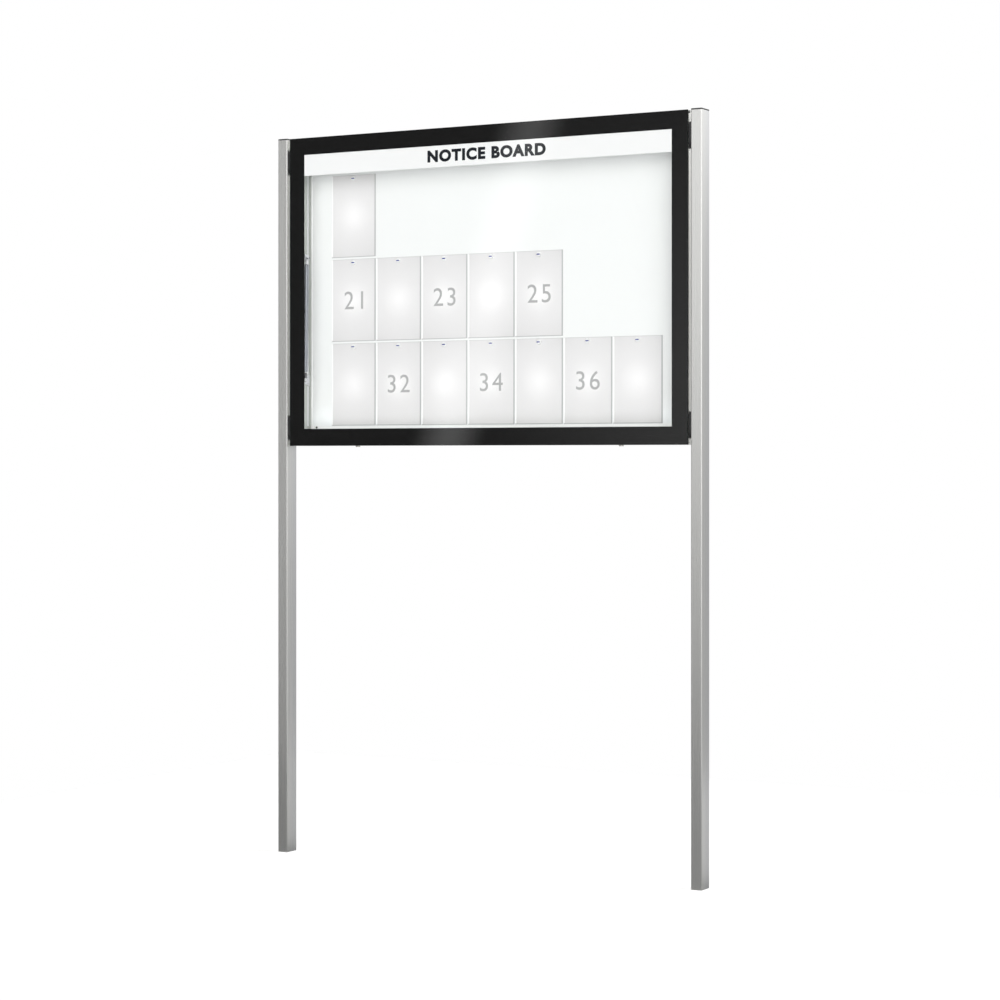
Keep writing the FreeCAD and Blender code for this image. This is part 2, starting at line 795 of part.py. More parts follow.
def make_glass():
    """Safety-glass pane with ground edges, and the black border printed on its back."""
    body = new_body("door_glass")
    outline = new_sketch(body, "XZ_Plane")
    draw_rectangle(outline, "-door_width / 2", "door_bottom", "door_width / 2", "door_top")
    pane = pad(body, outline, "glass_thickness", reverse=True)
    doc.recompute()
    rim = [f"Edge{index + 1}" for index, edge in enumerate(pane.Shape.Edges)
           if not runs_along(V(0, 1, 0))(edge)]
    bevel = body.newObject("PartDesign::Chamfer", "Chamfer")
    bevel.Base = (pane, rim)
    bind(bevel, "Size", "glass_edge")
    place(body, "0", "front_y")
    border = new_body("door_border")
    sketch = new_sketch(border, "XZ_Plane")
    edge = "glass_edge"
    draw_rectangle(sketch, f"-door_width / 2 + {edge}", f"door_bottom + {edge}",
                   f"door_width / 2 - {edge}", f"door_top - {edge}")
    draw_rectangle(sketch, "-door_width / 2 + border_width", "door_bottom + border_width",
                   "door_width / 2 - border_width", "door_top - border_width")
    pad(border, sketch, "print_thickness", reverse=True)
    place(border, "0", "front_y + glass_thickness")


KEEPER_MIDDLE = "door_width / 2 - lock_inset - keeper_offset - keeper_width / 2"

# Sections of the angle frame that is bonded to the back of the glass.
ANGLE_WEB = [
    ("web_depth", "frame_inset"), ("web_depth", "frame_inset + web_thickness"),
    ("flange_back", "frame_inset + web_thickness"), ("flange_back", "flange_reach"),
    ("flange_depth", "flange_reach"),
]
ANGLE_PLAIN = [("flange_depth", "frame_inset")] + ANGLE_WEB
ANGLE_LEAF = [("flange_depth", "hinge_drop"), ("flange_back", "hinge_drop"),
              ("flange_back", "frame_inset")] + ANGLE_WEB


def make_door_frame():
    """Angle frame behind the border. Its top rail runs up into a leaf that carries the knuckles."""
    rail = extrude_member("top", "door_top_rail", ANGLE_LEAF, None, "frame_width", "frame_inset")
    first = "-hinge_length / 2 + knuckle_pitch + knuckle_gap / 2"
    add_knuckles(rail, first, "knuckle_pairs", "flange_back - flange_thickness / 2", "hinge_depth",
                 "pin_radius + pin_clearance")
    low_rail = extrude_member("bottom", "door_bottom_rail", ANGLE_PLAIN, None, "frame_width",
                              "frame_inset")
    threads = new_sketch(low_rail, "XZ_Plane")
    for sign in ("-1", "1"):
        draw_circle(threads, f"{sign} * ({KEEPER_MIDDLE})", "keeper_screw_inset",
                    "screw_radius + thread_clearance")
    pocket(low_rail, threads)
    for name, upward in (("left", "-1"), ("right", "1")):
        stile = extrude_member(name, f"door_stile_{name}", ANGLE_PLAIN, None, "frame_height",
                               "frame_inset")
        threads = new_sketch(stile, "XZ_Plane")
        for sign in "+-":
            height = f"door_height / 2 - strut_high_drop {sign} ear_screw_spread / 2"
            draw_circle(threads, f"{upward} * ({height})", "ear_screw_inset",
                        "screw_radius + thread_clearance")
        pocket(stile, threads)


def make_frame_cleats():
    """Small angle plates riveted inside the corners of the door frame."""
    cleats = []
    low = "frame_inset + web_thickness"
    high = "frame_inset + web_thickness + frame_cleat_thickness"
    end = "frame_inset + frame_cleat_leg"
    corners = [(low, low), (end, low), (end, high), (high, high), (high, end), (low, end)]
    for x_sign in ("-1", "1"):
        for edge, z_sign in (("door_bottom", "1"), ("door_top", "-1")):
            body = doc.addObject("PartDesign::Body", "FrameCleat")
            sketch = new_sketch(body, "XZ_Plane")
            draw_polygon(sketch, [(f"{x_sign} * (door_width / 2 - ({x}))",
                                   f"{edge} + {z_sign} * ({z})") for x, z in corners])
            pad(body, sketch, "frame_cleat_depth", reverse=True)
            place(body, "0", "front_y + flange_back")
            cleats.append(body)
    group("door_corner_cleats", cleats)


def make_tape():
    """Glazing tape between the printed border and the flanges of the frame."""
    body = new_body("glazing_tape")
    sketch = new_sketch(body, "XZ_Plane")
    draw_rectangle(sketch, "-frame_width / 2", "door_bottom + frame_inset", "frame_width / 2",
                   "door_top - frame_inset")
    draw_rectangle(sketch, "-door_width / 2 + flange_reach", "door_bottom + flange_reach",
                   "door_width / 2 - flange_reach", "door_top - flange_reach")
    pad(body, sketch, "tape_thickness", reverse=True)
    place(body, "0", "front_y + print_depth")


def make_header():
    """White header strip that hangs behind the glass under the top border."""
    side = "flange_reach + header_side_gap"
    strip = box(f"-door_width / 2 + {side}", "front_y + print_depth",
                f"door_top - ({side}) - header_height", f"door_width - 2 * ({side})",
                "header_thickness", "header_height")
    keep(strip, "header_strip")


def make_hinge_pin():
    pin = rod("-hinge_length / 2", "front_y + hinge_depth", "door_top - hinge_drop", "pin_radius",
              "hinge_length", "x")
    keep(pin, "hinge_pin")


STRUT_LEAN = "-atan(strut_run / strut_rise)"


def place_on_strut(thing, side):
    """Stand a piece of a strut on its lower pivot and lean it along the closed strut."""
    place(thing, f"{side} * (door_width / 2 - strut_inset)", "front_y + strut_low_depth",
          "door_top - strut_low_drop", turned(V(1, 0, 0), -1))
    bind(thing, "Placement.Rotation.Angle", STRUT_LEAN)


def make_strut(name, side):
    """Gas strut: hollow cylinder with an eye above, and a rod with piston and socket below."""
    cylinder = new_body(f"strut_cylinder_{name}")
    shell = new_sketch(cylinder, "XZ_Plane")
    draw_polygon(shell, [("rod_radius + rod_clearance", "cylinder_start"),
                         ("cylinder_radius - cylinder_wall", "cylinder_start"),
                         ("cylinder_radius", "cylinder_start + cylinder_wall"),
                         ("cylinder_radius", "cylinder_end - cylinder_wall"),
                         ("cylinder_radius - cylinder_wall", "cylinder_end"),
                         ("0", "cylinder_end"), ("0", "bore_end"), ("bore_radius", "bore_end"),
                         ("bore_radius", "bore_start"), ("rod_radius + rod_clearance", "bore_start")])
    revolve(cylinder, shell)
    place_on_strut(cylinder, side)

    eye = new_body(f"strut_eye_{name}")
    ring = new_sketch(eye, "YZ_Plane")
    draw_circle(ring, "0", "strut_length", "eye_radius")
    pad(eye, ring, "eye_thickness", symmetric=True)
    neck = new_sketch(eye, "XY_Plane", "cylinder_end")
    draw_circle(neck, "0", "0", "eye_neck_radius")
    pad(eye, neck, "eye_neck + eye_radius / 2")
    place_on_strut(eye, side)

    piston_rod = new_body(f"strut_rod_{name}")
    outline = new_sketch(piston_rod, "XZ_Plane")
    piston_top = "bore_end - piston_end_gap"
    piston_low = "bore_end - piston_end_gap - piston_length"
    draw_polygon(outline, [("0", "socket_radius"), ("rod_radius", "socket_radius"),
                           ("rod_radius", piston_low), ("bore_radius - rod_clearance", piston_low),
                           ("bore_radius - rod_clearance", piston_top), ("0", piston_top)])
    revolve(piston_rod, outline)
    place_on_strut(piston_rod, side)

    socket = new_body(f"strut_socket_{name}")
    disc = new_sketch(socket, "YZ_Plane")
    draw_circle(disc, "0", "0", "socket_radius")
    pad(socket, disc, "eye_thickness", symmetric=True)
    sleeve = new_sketch(socket, "XY_Plane", "socket_radius - socket_floor")
    draw_circle(sleeve, "0", "0", "socket_sleeve_radius")
    pad(socket, sleeve, "socket_sleeve")
    recess = new_sketch(socket, "XY_Plane", "socket_radius")
    draw_circle(recess, "0", "0", "rod_radius")
    pocket(socket, recess, "cylinder_start", reverse=True)
    bore = new_sketch(socket, "YZ_Plane", f"-1 * {side} * (eye_thickness / 2 - socket_floor)")
    draw_circle(bore, "0", "0", "stud_radius + rod_clearance")
    pocket(socket, bore, "eye_thickness - socket_floor", reverse=(side == "1"))
    place_on_strut(socket, side)


def make_case_bracket(name, side):
    """Triangular plate on the side wall of the case whose nose carries the strut's lower stud."""
    body = new_body(f"strut_bracket_{name}")
    plate = new_sketch(body, "YZ_Plane")
    draw_polygon(plate, [("bracket_foot_depth", "-bracket_base / 2"),
                         ("bracket_foot_depth", "bracket_base / 2"),
                         ("strut_low_depth", "bracket_nose"), ("strut_low_depth", "-bracket_nose")])
    pad(body, plate, "bracket_thickness", reverse=(side == "1"))
    nose = new_sketch(body, "YZ_Plane")
    draw_circle(nose, "strut_low_depth", "0", "bracket_nose")
    pad(body, nose, "bracket_thickness", reverse=(side == "1"))
    stud = new_sketch(body, "YZ_Plane")
    draw_circle(stud, "strut_low_depth", "0", "stud_radius")
    reach = "strut_inset - profile_width + eye_thickness / 2 - socket_floor - stud_gap"
    pad(body, stud, reach, reverse=(side == "1"))
    holes = new_sketch(body, "YZ_Plane")
    for sign in "+-":
        draw_circle(holes, "bracket_screw_depth", f"0 {sign} bracket_screw_spread / 2",
                    "screw_radius + thread_clearance")
    pocket(body, holes)
    place(body, f"{side} * (door_width / 2 - profile_width)", "front_y", "door_top - strut_low_drop")


def make_door_bracket(name, side):
    """Angle on the door frame whose ear carries the strut's upper stud."""
    body = new_body(f"door_bracket_{name}")
    inward = side == "1"
    ear = new_sketch(body, "YZ_Plane")
    draw_rectangle(ear, "flange_back", "-ear_half_height", "strut_high_depth + ear_margin",
                   "ear_half_height")
    plate = pad(body, ear, "ear_thickness", reverse=inward)
    doc.recompute()
    rear = plate.Shape.BoundBox.YMax

    def at_rear(edge):
        return runs_along(V(1, 0, 0))(edge) and edge.BoundBox.YMin > rear - HAIR

    round_edges(body, plate, "ear_margin", at_rear)
    foot = new_sketch(body, "YZ_Plane")
    draw_rectangle(foot, "flange_back", "-ear_half_height", "flange_back + ear_thickness",
                   "ear_half_height")
    reach = "strut_inset + eye_thickness / 2 + stud_reach - frame_inset - web_thickness"
    pad(body, foot, f"{reach} - rebate_clearance", reverse=not inward)
    stud = new_sketch(body, "YZ_Plane")
    draw_circle(stud, "strut_high_depth", "0", "stud_radius")
    pad(body, stud, "stud_reach - stud_gap", reverse=not inward)
    holes = new_sketch(body, "XZ_Plane")
    ear_inset = "strut_inset + eye_thickness / 2 + stud_reach"
    for sign in "+-":
        draw_circle(holes, f"{side} * ({ear_inset} - ear_screw_inset)",
                    f"0 {sign} ear_screw_spread / 2", "screw_radius + thread_clearance")
    pocket(body, holes, "flange_back + 2 * ear_thickness")
    place(body, f"{side} * (door_width / 2 - strut_inset - eye_thickness / 2 - stud_reach)",
          "front_y", "door_top - strut_high_drop")


def make_lock(name, side):
    """Cam lock upright through the bottom profile: barrel, nut, plug, cam and screw."""
    x = f"{side} * (door_width / 2 - lock_inset)"
    y = "front_y + lock_depth"
    barrel = new_body(f"lock_barrel_{name}")
    outline = new_sketch(barrel, "XZ_Plane")
    bore = "plug_radius + plug_clearance"
    top = "profile_width + lock_nut_height + lock_clearance"
    draw_polygon(outline, [(bore, "-lock_head_height"),
                           ("lock_head_radius - lock_head_edge", "-lock_head_height"),
                           ("lock_head_radius", "-lock_head_height + lock_head_edge"),
                           ("lock_head_radius", "0"), ("lock_body_radius", "0"),
                           ("lock_body_radius", top), (bore, top)])
    revolve(barrel, outline)
    place(barrel, x, y, "door_bottom")

    nut = hexagon(x, y, "door_bottom + profile_width", "lock_nut_radius", "lock_nut_height", "z")
    hole = rod(x, y, "door_bottom + profile_width", "lock_body_radius + thread_clearance",
               "lock_nut_height", "z")
    keep(cut(nut, hole), f"lock_nut_{name}")

    plug = new_body(f"lock_plug_{name}")
    core = new_sketch(plug, "XY_Plane", "-lock_head_height + plug_recess")
    draw_circle(core, "0", "0", "plug_radius")
    pad(plug, core, "cam_height + lock_head_height - plug_recess")
    tail = new_sketch(plug, "XY_Plane", "cam_height")
    draw_rectangle(tail, "-cam_square / 2", "-cam_square / 2", "cam_square / 2", "cam_square / 2")
    pad(plug, tail, "cam_thickness")
    slot = new_sketch(plug, "XY_Plane", "-lock_head_height + plug_recess")
    draw_rectangle(slot, "-key_slot_width / 2", "-key_slot_length / 2", "key_slot_width / 2",
                   "key_slot_length / 2")
    pocket(plug, slot, "key_slot_depth", reverse=True)
    thread = new_sketch(plug, "XY_Plane", "cam_height + cam_thickness")
    draw_circle(thread, "0", "0", "cam_screw_radius")
    pocket(plug, thread, "cam_screw_depth")
    place(plug, x, y, "door_bottom")

    cam = new_body(f"lock_cam_{name}")
    plate = new_sketch(cam, "XY_Plane")
    draw_rectangle(plate, "-cam_width / 2", "-cam_reach", "cam_width / 2", "cam_width / 2")
    strip = pad(cam, plate, "cam_thickness")
    round_edges(cam, strip, "cam_width / 4", runs_along(V(0, 0, 1)))
    square = new_sketch(cam, "XY_Plane")
    half = "(cam_square / 2 + cam_square_clearance)"
    draw_rectangle(square, f"-{half}", f"-{half}", half, half)
    pocket(cam, square)
    place(cam, x, y, "door_bottom + cam_height")

    screw_seat = "door_bottom + cam_height + cam_thickness"
    shank = rod(x, y, f"{screw_seat} - cam_screw_depth", "cam_screw_radius - thread_clearance",
                "cam_screw_depth", "z")
    head = rod(x, y, screw_seat, "cam_screw_head_radius", "cam_screw_head_height", "z")
    keep(fuse(shank, head), f"cam_screw_{name}")


def make_keeper(name, side):
    """Bent strap on the door's bottom rail whose lip drops behind the turned cam."""
    body = new_body(f"lock_keeper_{name}")
    sketch = new_sketch(body, "YZ_Plane")
    arm_top = "keeper_arm + keeper_thickness"
    foot_low = "frame_inset + web_thickness + keeper_foot_low - rebate_clearance"
    draw_polygon(sketch, [("flange_back", foot_low), ("flange_back + keeper_thickness", foot_low),
                          ("flange_back + keeper_thickness", "keeper_arm"),
                          ("keeper_lip", "keeper_arm"), ("keeper_lip", "cam_height - keeper_overlap"),
                          ("keeper_lip + keeper_thickness", "cam_height - keeper_overlap"),
                          ("keeper_lip + keeper_thickness", arm_top),
                          ("flange_back + keeper_thickness", arm_top),
                          ("flange_back + keeper_thickness", f"{arm_top} + keeper_foot_high"),
                          ("flange_back", f"{arm_top} + keeper_foot_high")])
    pad(body, sketch, "keeper_width", symmetric=True)
    hole = new_sketch(body, "XZ_Plane")
    draw_circle(hole, "0", "keeper_screw_inset", "screw_radius + thread_clearance")
    pocket(body, hole, "flange_back + 2 * keeper_thickness")
    place(body, f"{side} * ({KEEPER_MIDDLE})", "front_y", "door_bottom")


def make_screw(x, y, z, direction, grip, head_first):
    """Pan-head screw along x or y whose shank fills the grip, its head before or after it."""
    start = {"x": x, "y": y}[direction]
    head_start = f"{start} - screw_head_height" if head_first else f"{start} + {grip}"
    head_x = head_start if direction == "x" else x
    head_y = head_start if direction == "y" else y
    shank = rod(x, y, z, "screw_radius", grip, direction)
    head = rod(head_x, head_y, z, "screw_head_radius", "screw_head_height", direction)
    return fuse(shank, head)


def make_small_screws():
    """Screws of the strut brackets on the case, and those of the brackets and keepers on the door."""
    on_case = []
    on_door = []
    for name, side in SIDES:
        wall = "door_width / 2 - profile_width + profile_wall"
        grip = "bracket_thickness + profile_wall"
        x = f"-({wall})" if side == "-1" else f"{wall} - ({grip})"
        for sign in "+-":
            z = f"door_top - strut_low_drop {sign} bracket_screw_spread / 2"
            on_case.append(make_screw(x, "front_y + bracket_screw_depth", z, "x", grip, side == "1"))
            z = f"door_top - strut_high_drop {sign} ear_screw_spread / 2"
            on_door.append(make_screw(f"{side} * (door_width / 2 - ear_screw_inset)",
                                      "front_y + flange_depth", z, "y",
                                      "flange_thickness + ear_thickness", False))
        on_door.append(make_screw(f"{side} * ({KEEPER_MIDDLE})", "front_y + flange_depth",
                                  "door_bottom + keeper_screw_inset", "y",
                                  "flange_thickness + keeper_thickness", False))
    group("strut_bracket_screws", on_case)
    group("door_screws", on_door)


def check_model():
    """Stop if a feature failed, a shape is broken or a pocket cut nothing."""
    for thing in doc.Objects:
        if "Invalid" in thing.State or "Error" in thing.State:
            raise RuntimeError(f"{thing.Name} failed: {thing.State}")
        if thing.TypeId == "PartDesign::Pocket":
            before = thing.BaseFeature.Shape.Volume
            if before - thing.Shape.Volume < 1e-3:
                raise RuntimeError(f"{thing.Name} in {thing.getParentGeoFeatureGroup().Label} cut nothing")
    for part in parts:
        if part.Shape.isNull() or not part.Shape.isValid() or not part.Shape.Solids:
            raise RuntimeError(f"{part.Label} has no valid solid")


def export_parts():
    os.makedirs("parts", exist_ok=True)
    for part in parts:
        part.Shape.exportStep(f"parts/{part.Label}.step")
        print(part.Label, len(part.Shape.Solids), round(part.Shape.Volume, 1))


for name, side in SIDES:
    make_post(name, side)
    make_cap(name, side)
    make_spacers(name, side)
make_bolts()
make_rivet_nuts()
make_case_top()
make_case_bottom()
make_case_side("left", "-1")
make_case_side("right", "1")
make_corner_cleats()
make_back()
make_panel()
make_notices()
make_seal()
make_glass()
make_door_frame()
make_frame_cleats()
make_tape()
make_header()
make_hinge_pin()
for name, side in SIDES:
    make_strut(name, side)
    make_case_bracket(name, side)
    make_door_bracket(name, side)
    make_lock(name, side)
    make_keeper(name, side)
make_small_screws()
doc.recompute()
check_model()
export_parts()
print(len(parts), "sub-parts")
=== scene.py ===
import bpy
import json
import math
import numpy as np
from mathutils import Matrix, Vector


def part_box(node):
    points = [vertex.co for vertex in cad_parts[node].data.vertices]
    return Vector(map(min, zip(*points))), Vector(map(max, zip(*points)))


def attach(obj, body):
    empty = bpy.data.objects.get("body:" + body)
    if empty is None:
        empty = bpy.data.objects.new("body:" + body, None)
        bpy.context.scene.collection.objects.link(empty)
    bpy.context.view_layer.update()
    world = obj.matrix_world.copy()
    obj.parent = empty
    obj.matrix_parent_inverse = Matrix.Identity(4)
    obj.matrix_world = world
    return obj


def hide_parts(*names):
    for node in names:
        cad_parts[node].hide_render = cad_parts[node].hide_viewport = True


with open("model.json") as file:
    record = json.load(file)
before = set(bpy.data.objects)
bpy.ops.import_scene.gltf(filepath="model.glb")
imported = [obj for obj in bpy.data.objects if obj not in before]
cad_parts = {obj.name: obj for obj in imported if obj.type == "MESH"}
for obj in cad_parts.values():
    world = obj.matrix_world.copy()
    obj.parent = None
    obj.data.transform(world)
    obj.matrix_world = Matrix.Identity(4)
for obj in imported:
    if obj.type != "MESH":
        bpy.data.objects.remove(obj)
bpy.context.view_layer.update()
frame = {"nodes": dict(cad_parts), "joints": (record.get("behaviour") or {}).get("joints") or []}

# The viewpoint: level, from the right of the board, at about the chin of a standing person. The
# picture is shifted instead of the camera tilted, so that the posts stay upright in it.
EYE = (4.407, -7.662, 1.427)
VIEW_TURN = math.radians(29.615)
LENS = 91.41
PICTURE_SHIFT = -0.0417
camera_data = bpy.data.cameras.new("viewpoint")
camera_data.sensor_width = 36
camera_data.lens = LENS
camera_data.shift_y = PICTURE_SHIFT
camera = bpy.data.objects.new("viewpoint", camera_data)
camera.location = EYE
camera.rotation_euler = (math.pi / 2, 0, VIEW_TURN)
bpy.context.scene.collection.objects.link(camera)
bpy.context.scene.camera = camera

# Posts: two lengths of rectangular aluminium tube with rounded corners, extruded, sawn square and
# satin anodised. They stand in the ground and carry the case between them.
MM = 0.001
CORNER_STEPS = 6
LEAST_CORNER = 0.1 * MM
NEAR_CORNER = 0.3 * MM
SHARP_FROM = math.radians(32)
POST_CORNER = 2.8 * MM
POST_WALL = 3 * MM
POST_INNER_CORNER = 1 * MM
SAWN_EDGE = 0.4 * MM
LINES_ACROSS, LINES_ALONG = 1500, 1.5
COAT_DULL, COAT_BRIGHT = np.array([(0.98, 0.98, 0.955), (1.02, 1.02, 0.995)])
POST_DEPTH_RANGE = (-45 * MM, 12 * MM)
POST_REAR_PAINTED_SHADE = (0.89, 0.90, 0.94)
POST_INNER_SIDE = 0.8065
PAINTED_LIGHT_BESIDE_CASE = (1.26, 1.26, 1.26)


def corners_of(node):
    """Lowest and highest corner of a CAD node as arrays."""
    low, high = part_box(node)
    return np.array(low), np.array(high)


def rounded_outline(width, depth, radius):
    """Points round a rectangle about its middle. Each corner is a quarter of a circle of the
    radius, centred one radius in from both of its sides. A point on the straights close to both
    ends of the quarter keeps the shading of the flats flat."""
    half = np.array([width / 2 - radius, depth / 2 - radius])
    on_straight = np.minimum(NEAR_CORNER, half / 2)
    quarter = np.linspace(0, np.pi / 2, CORNER_STEPS + 1)
    outline = []
    for k in range(4):
        turn = quarter + k * np.pi / 2
        side = np.sign([np.cos(turn[CORNER_STEPS // 2]), np.sin(turn[CORNER_STEPS // 2])])
        arc = half * side + radius * np.column_stack([np.cos(turn), np.sin(turn)])
        tangents = np.array([(np.sin(turn[0]), -np.cos(turn[0])),
                             (-np.sin(turn[-1]), np.cos(turn[-1]))])
        outline += [arc[:1] + tangents[0] * on_straight, arc, arc[-1:] + tangents[1] * on_straight]
    return np.concatenate(outline)


def bar(width, depth, radius, stations):
    """Rings of a rounded rectangle along the third axis. A station is a distance along that axis
    and how far all sides of the rectangle, and its corners, are drawn in there."""
    rings = []
    for distance, inset in stations:
        corner = max(radius - inset, LEAST_CORNER)
        outline = rounded_outline(width - 2 * inset, depth - 2 * inset, corner)
        rings.append(np.column_stack([outline, np.full(len(outline), distance)]))
    return np.array(rings)


def skin(name, material, grids, looped=False):
    """Join grids of points (rings, points round a ring, x y z) into the surfaces of one piece.

    Point j of ring i joins point j + 1 and the same two of ring i + 1, and the last point joins the
    first. The end rings are filled with a face each, or join each other where looped is true. A
    surface is turned inside out where its faces sum to a negative volume about its own middle.
    """
    points = np.concatenate([grid.reshape(-1, 3) for grid in grids])
    faces = []
    start = 0
    for grid in grids:
        own = grid.reshape(-1, 3)
        index = np.arange(len(own)).reshape(grid.shape[:2])
        if looped:
            index = np.vstack([index, index[:1]])
        beside = np.roll(index, -1, axis=1)
        quads = np.stack([index[:-1], beside[:-1], beside[1:], index[1:]], axis=-1).reshape(-1, 4)
        a, b, c, d = (own[quads[:, k]] - own.mean(axis=0) for k in range(4))
        volume = np.sum(a * (np.cross(b, c) + np.cross(c, d)))
        surface = (quads + start).tolist()
        if not looped:
            surface += [(index[0, ::-1] + start).tolist(), (index[-1] + start).tolist()]
        faces += surface if volume > 0 else [face[::-1] for face in surface]
        start += len(own)
    mesh = bpy.data.meshes.new(name)
    mesh.from_pydata(points.tolist(), [], faces)
    mesh.shade_smooth()
    mesh.set_sharp_from_angle(angle=SHARP_FROM)
    mesh.materials.append(material)
    piece = bpy.data.objects.new(name, mesh)
    bpy.context.scene.collection.objects.link(piece)
    return piece


def put(tree, kind, inputs, **settings):
    """Add a shader node. An input is given as a value, or as the output it is linked from."""
    node = tree.nodes.new("ShaderNode" + kind)
    for name, value in settings.items():
        setattr(node, name, value)
    for name, value in inputs.items():
        if isinstance(value, bpy.types.NodeSocket):
            tree.links.new(value, node.inputs[name])
        else:
            node.inputs[name].default_value = value
    return node


def new_material(name, **values):
    """A material with a single Principled shader, returned with its tree and that shader."""
    material = bpy.data.materials.new(name)
    material.use_nodes = True
    shader = material.node_tree.nodes["Principled BSDF"]
    for key, value in values.items():
        shader.inputs[key.replace("_", " ")].default_value = value
    return material, material.node_tree, shader


def object_grain(tree, stretch, **noise):
    """Noise on object coordinates, its pattern drawn out by a scale for each axis."""
    place = tree.nodes.new("ShaderNodeTexCoord").outputs["Object"]
    mapping = put(tree, "Mapping", {"Vector": place, "Scale": stretch})
    return put(tree, "TexNoise", {"Vector": mapping.outputs["Vector"], **noise}).outputs["Fac"]


def spread(tree, factor, low, high):
    """Map a factor that runs from 0.3 to 0.7, as noise mostly does, to a range of values."""
    limits = {"Value": factor, "From Min": 0.3, "From Max": 0.7, "To Min": low, "To Max": high}
    return put(tree, "MapRange", limits).outputs["Result"]


def roughen(tree, shader, grain, low, high, relief, depth=0.0001):
    """Let a grain vary the roughness from low to high and raise the surface by up to a depth."""
    tree.links.new(spread(tree, grain, low, high), shader.inputs["Roughness"])
    bump = put(tree, "Bump", {"Height": grain, "Strength": relief, "Distance": depth})
    tree.links.new(bump.outputs["Normal"], shader.inputs["Normal"])


def maths(tree, operation, *values):
    """The output of a new Math node. Each value is a number or the output it comes from."""
    return put(tree, "Math", dict(enumerate(values)), operation=operation).outputs["Value"]


def blend(tree, factor, first, second, way="MIX"):
    """A colour between two by a factor, or the product of the two by the way MULTIPLY."""
    mixed = {"Factor": factor, "A": first, "B": second}
    return put(tree, "Mix", mixed, data_type="RGBA", blend_type=way).outputs["Result"]


def object_axis(tree, letter):
    """The place along one axis of the object, X, Y or Z, in metres."""
    place = tree.nodes.new("ShaderNodeTexCoord").outputs["Object"]
    return put(tree, "SeparateXYZ", {"Vector": place}).outputs[letter]


def extruded_aluminium(name, axis, pale=0.78, rear=(1, 1, 1)):
    """Anodised aluminium with the fine die lines of an extrusion, drawn out along the bar. They
    spread what it mirrors across the bar more than along it. rear is a painted shade: the tint,
    darker and bluer, that the coat takes on towards the back edge of a post."""
    material, tree, shader = new_material(name, Metallic=1.0, Anisotropic=0.5)
    around = put(tree, "Tangent", {}, direction_type="RADIAL", axis=axis)
    tree.links.new(around.outputs["Tangent"], shader.inputs["Tangent"])
    stretch = [LINES_ALONG if letter == axis else LINES_ACROSS for letter in "XYZ"]
    lines = object_grain(tree, stretch, Scale=1.0, Detail=2.0)
    cloud = object_grain(tree, (1, 1, 1), Scale=2.2, Detail=1.0)
    coat = blend(tree, cloud, (*(pale * COAT_DULL), 1), (*(pale * COAT_BRIGHT), 1))
    # Painted shade: from the front of a post to its back the coat is multiplied towards the tint
    # rear.
    depth = {"Value": object_axis(tree, "Y"), "From Min": POST_DEPTH_RANGE[0],
             "From Max": POST_DEPTH_RANGE[1]}
    rearward_shade = put(tree, "MapRange", depth).outputs["Result"]
    tree.links.new(blend(tree, rearward_shade, coat, (*rear, 1), "MULTIPLY"),
                   shader.inputs["Base Color"])
    roughen(tree, shader, lines, 0.26, 0.33, 0.10)
    return material


def painted_light_and_shade_inside(material, edge, tint, above=0):
    """Multiply a material's colour by a tint where |X| of the object is less than the edge and its
    Z more than above. It paints light where the tint is above one and shade where it is below."""
    tree = material.node_tree
    colour = tree.nodes["Principled BSDF"].inputs["Base Color"]
    plain = colour.links[0].from_socket
    inside = maths(tree, "LESS_THAN", maths(tree, "ABSOLUTE", object_axis(tree, "X")), edge)
    raised = maths(tree, "GREATER_THAN", object_axis(tree, "Z"), above)
    share = maths(tree, "MULTIPLY", inside, raised)
    tones = blend(tree, share, (1, 1, 1, 1), (*tint, 1))
    tree.links.new(blend(tree, 1.0, plain, tones, "MULTIPLY"), colour)
    return material


# Painted light: upright aluminium is made 1.26 times brighter where |X| is under POST_INNER_SIDE
# and above the foot of the case, on the sides of the posts that face the case, on the ribs and on
# the door stiles.
upright_aluminium_light_and_shade = painted_light_and_shade_inside(extruded_aluminium("anodised_upright", "Z", rear=POST_REAR_PAINTED_SHADE),
                                 POST_INNER_SIDE, PAINTED_LIGHT_BESIDE_CASE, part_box("case_left")[0][2])
level_aluminium = extruded_aluminium("anodised_level", "X")
for side in ("left", "right"):
    low, high = corners_of(f"post_{side}")
    width, depth, height = high - low
    outer = bar(width, depth, POST_CORNER, [(0, SAWN_EDGE), (SAWN_EDGE, 0), (height - SAWN_EDGE, 0),
                                            (height, SAWN_EDGE)])
    inner = bar(width - 2 * POST_WALL, depth - 2 * POST_WALL, POST_INNER_CORNER,
                [(height, 0), (0, 0)])
    foot = np.array([(low[0] + high[0]) / 2, (low[1] + high[1]) / 2, low[2]])
    post = skin(f"post_{side}_tube", upright_aluminium_light_and_shade,
                [np.concatenate([outer, inner]) + foot], looped=True)
    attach(post, "root")
    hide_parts(f"post_{side}")

# Post caps: black polyethylene mouldings pushed into the tubes. A plate as large as the post, with
# a rounded and slightly crowned top, sits on a plug that tapers to enter the tube.
CAP_ROUND = 1.5 * MM
CAP_CROWN = 0.3 * MM
CAP_EASE = 0.2 * MM
PLUG_CLEARANCE = 0.2 * MM
PLUG_NECK = 0.3 * MM
PLUG_TAPER = 0.8 * MM
ROUND_STEPS = 5


def moulded_plastic(name, tone, roughness, grain=1800, relief=0.12):
    """Moulded plastic with the fine eroded grain of its tool, and gloss that varies with it."""
    material, tree, shader = new_material(name, Base_Color=(*tone, 1), Specular_IOR_Level=0.4)
    grit = object_grain(tree, (1, 1, 1), Scale=grain, Detail=2.0)
    roughen(tree, shader, grit, roughness - 0.05, roughness + 0.07, relief)
    return material


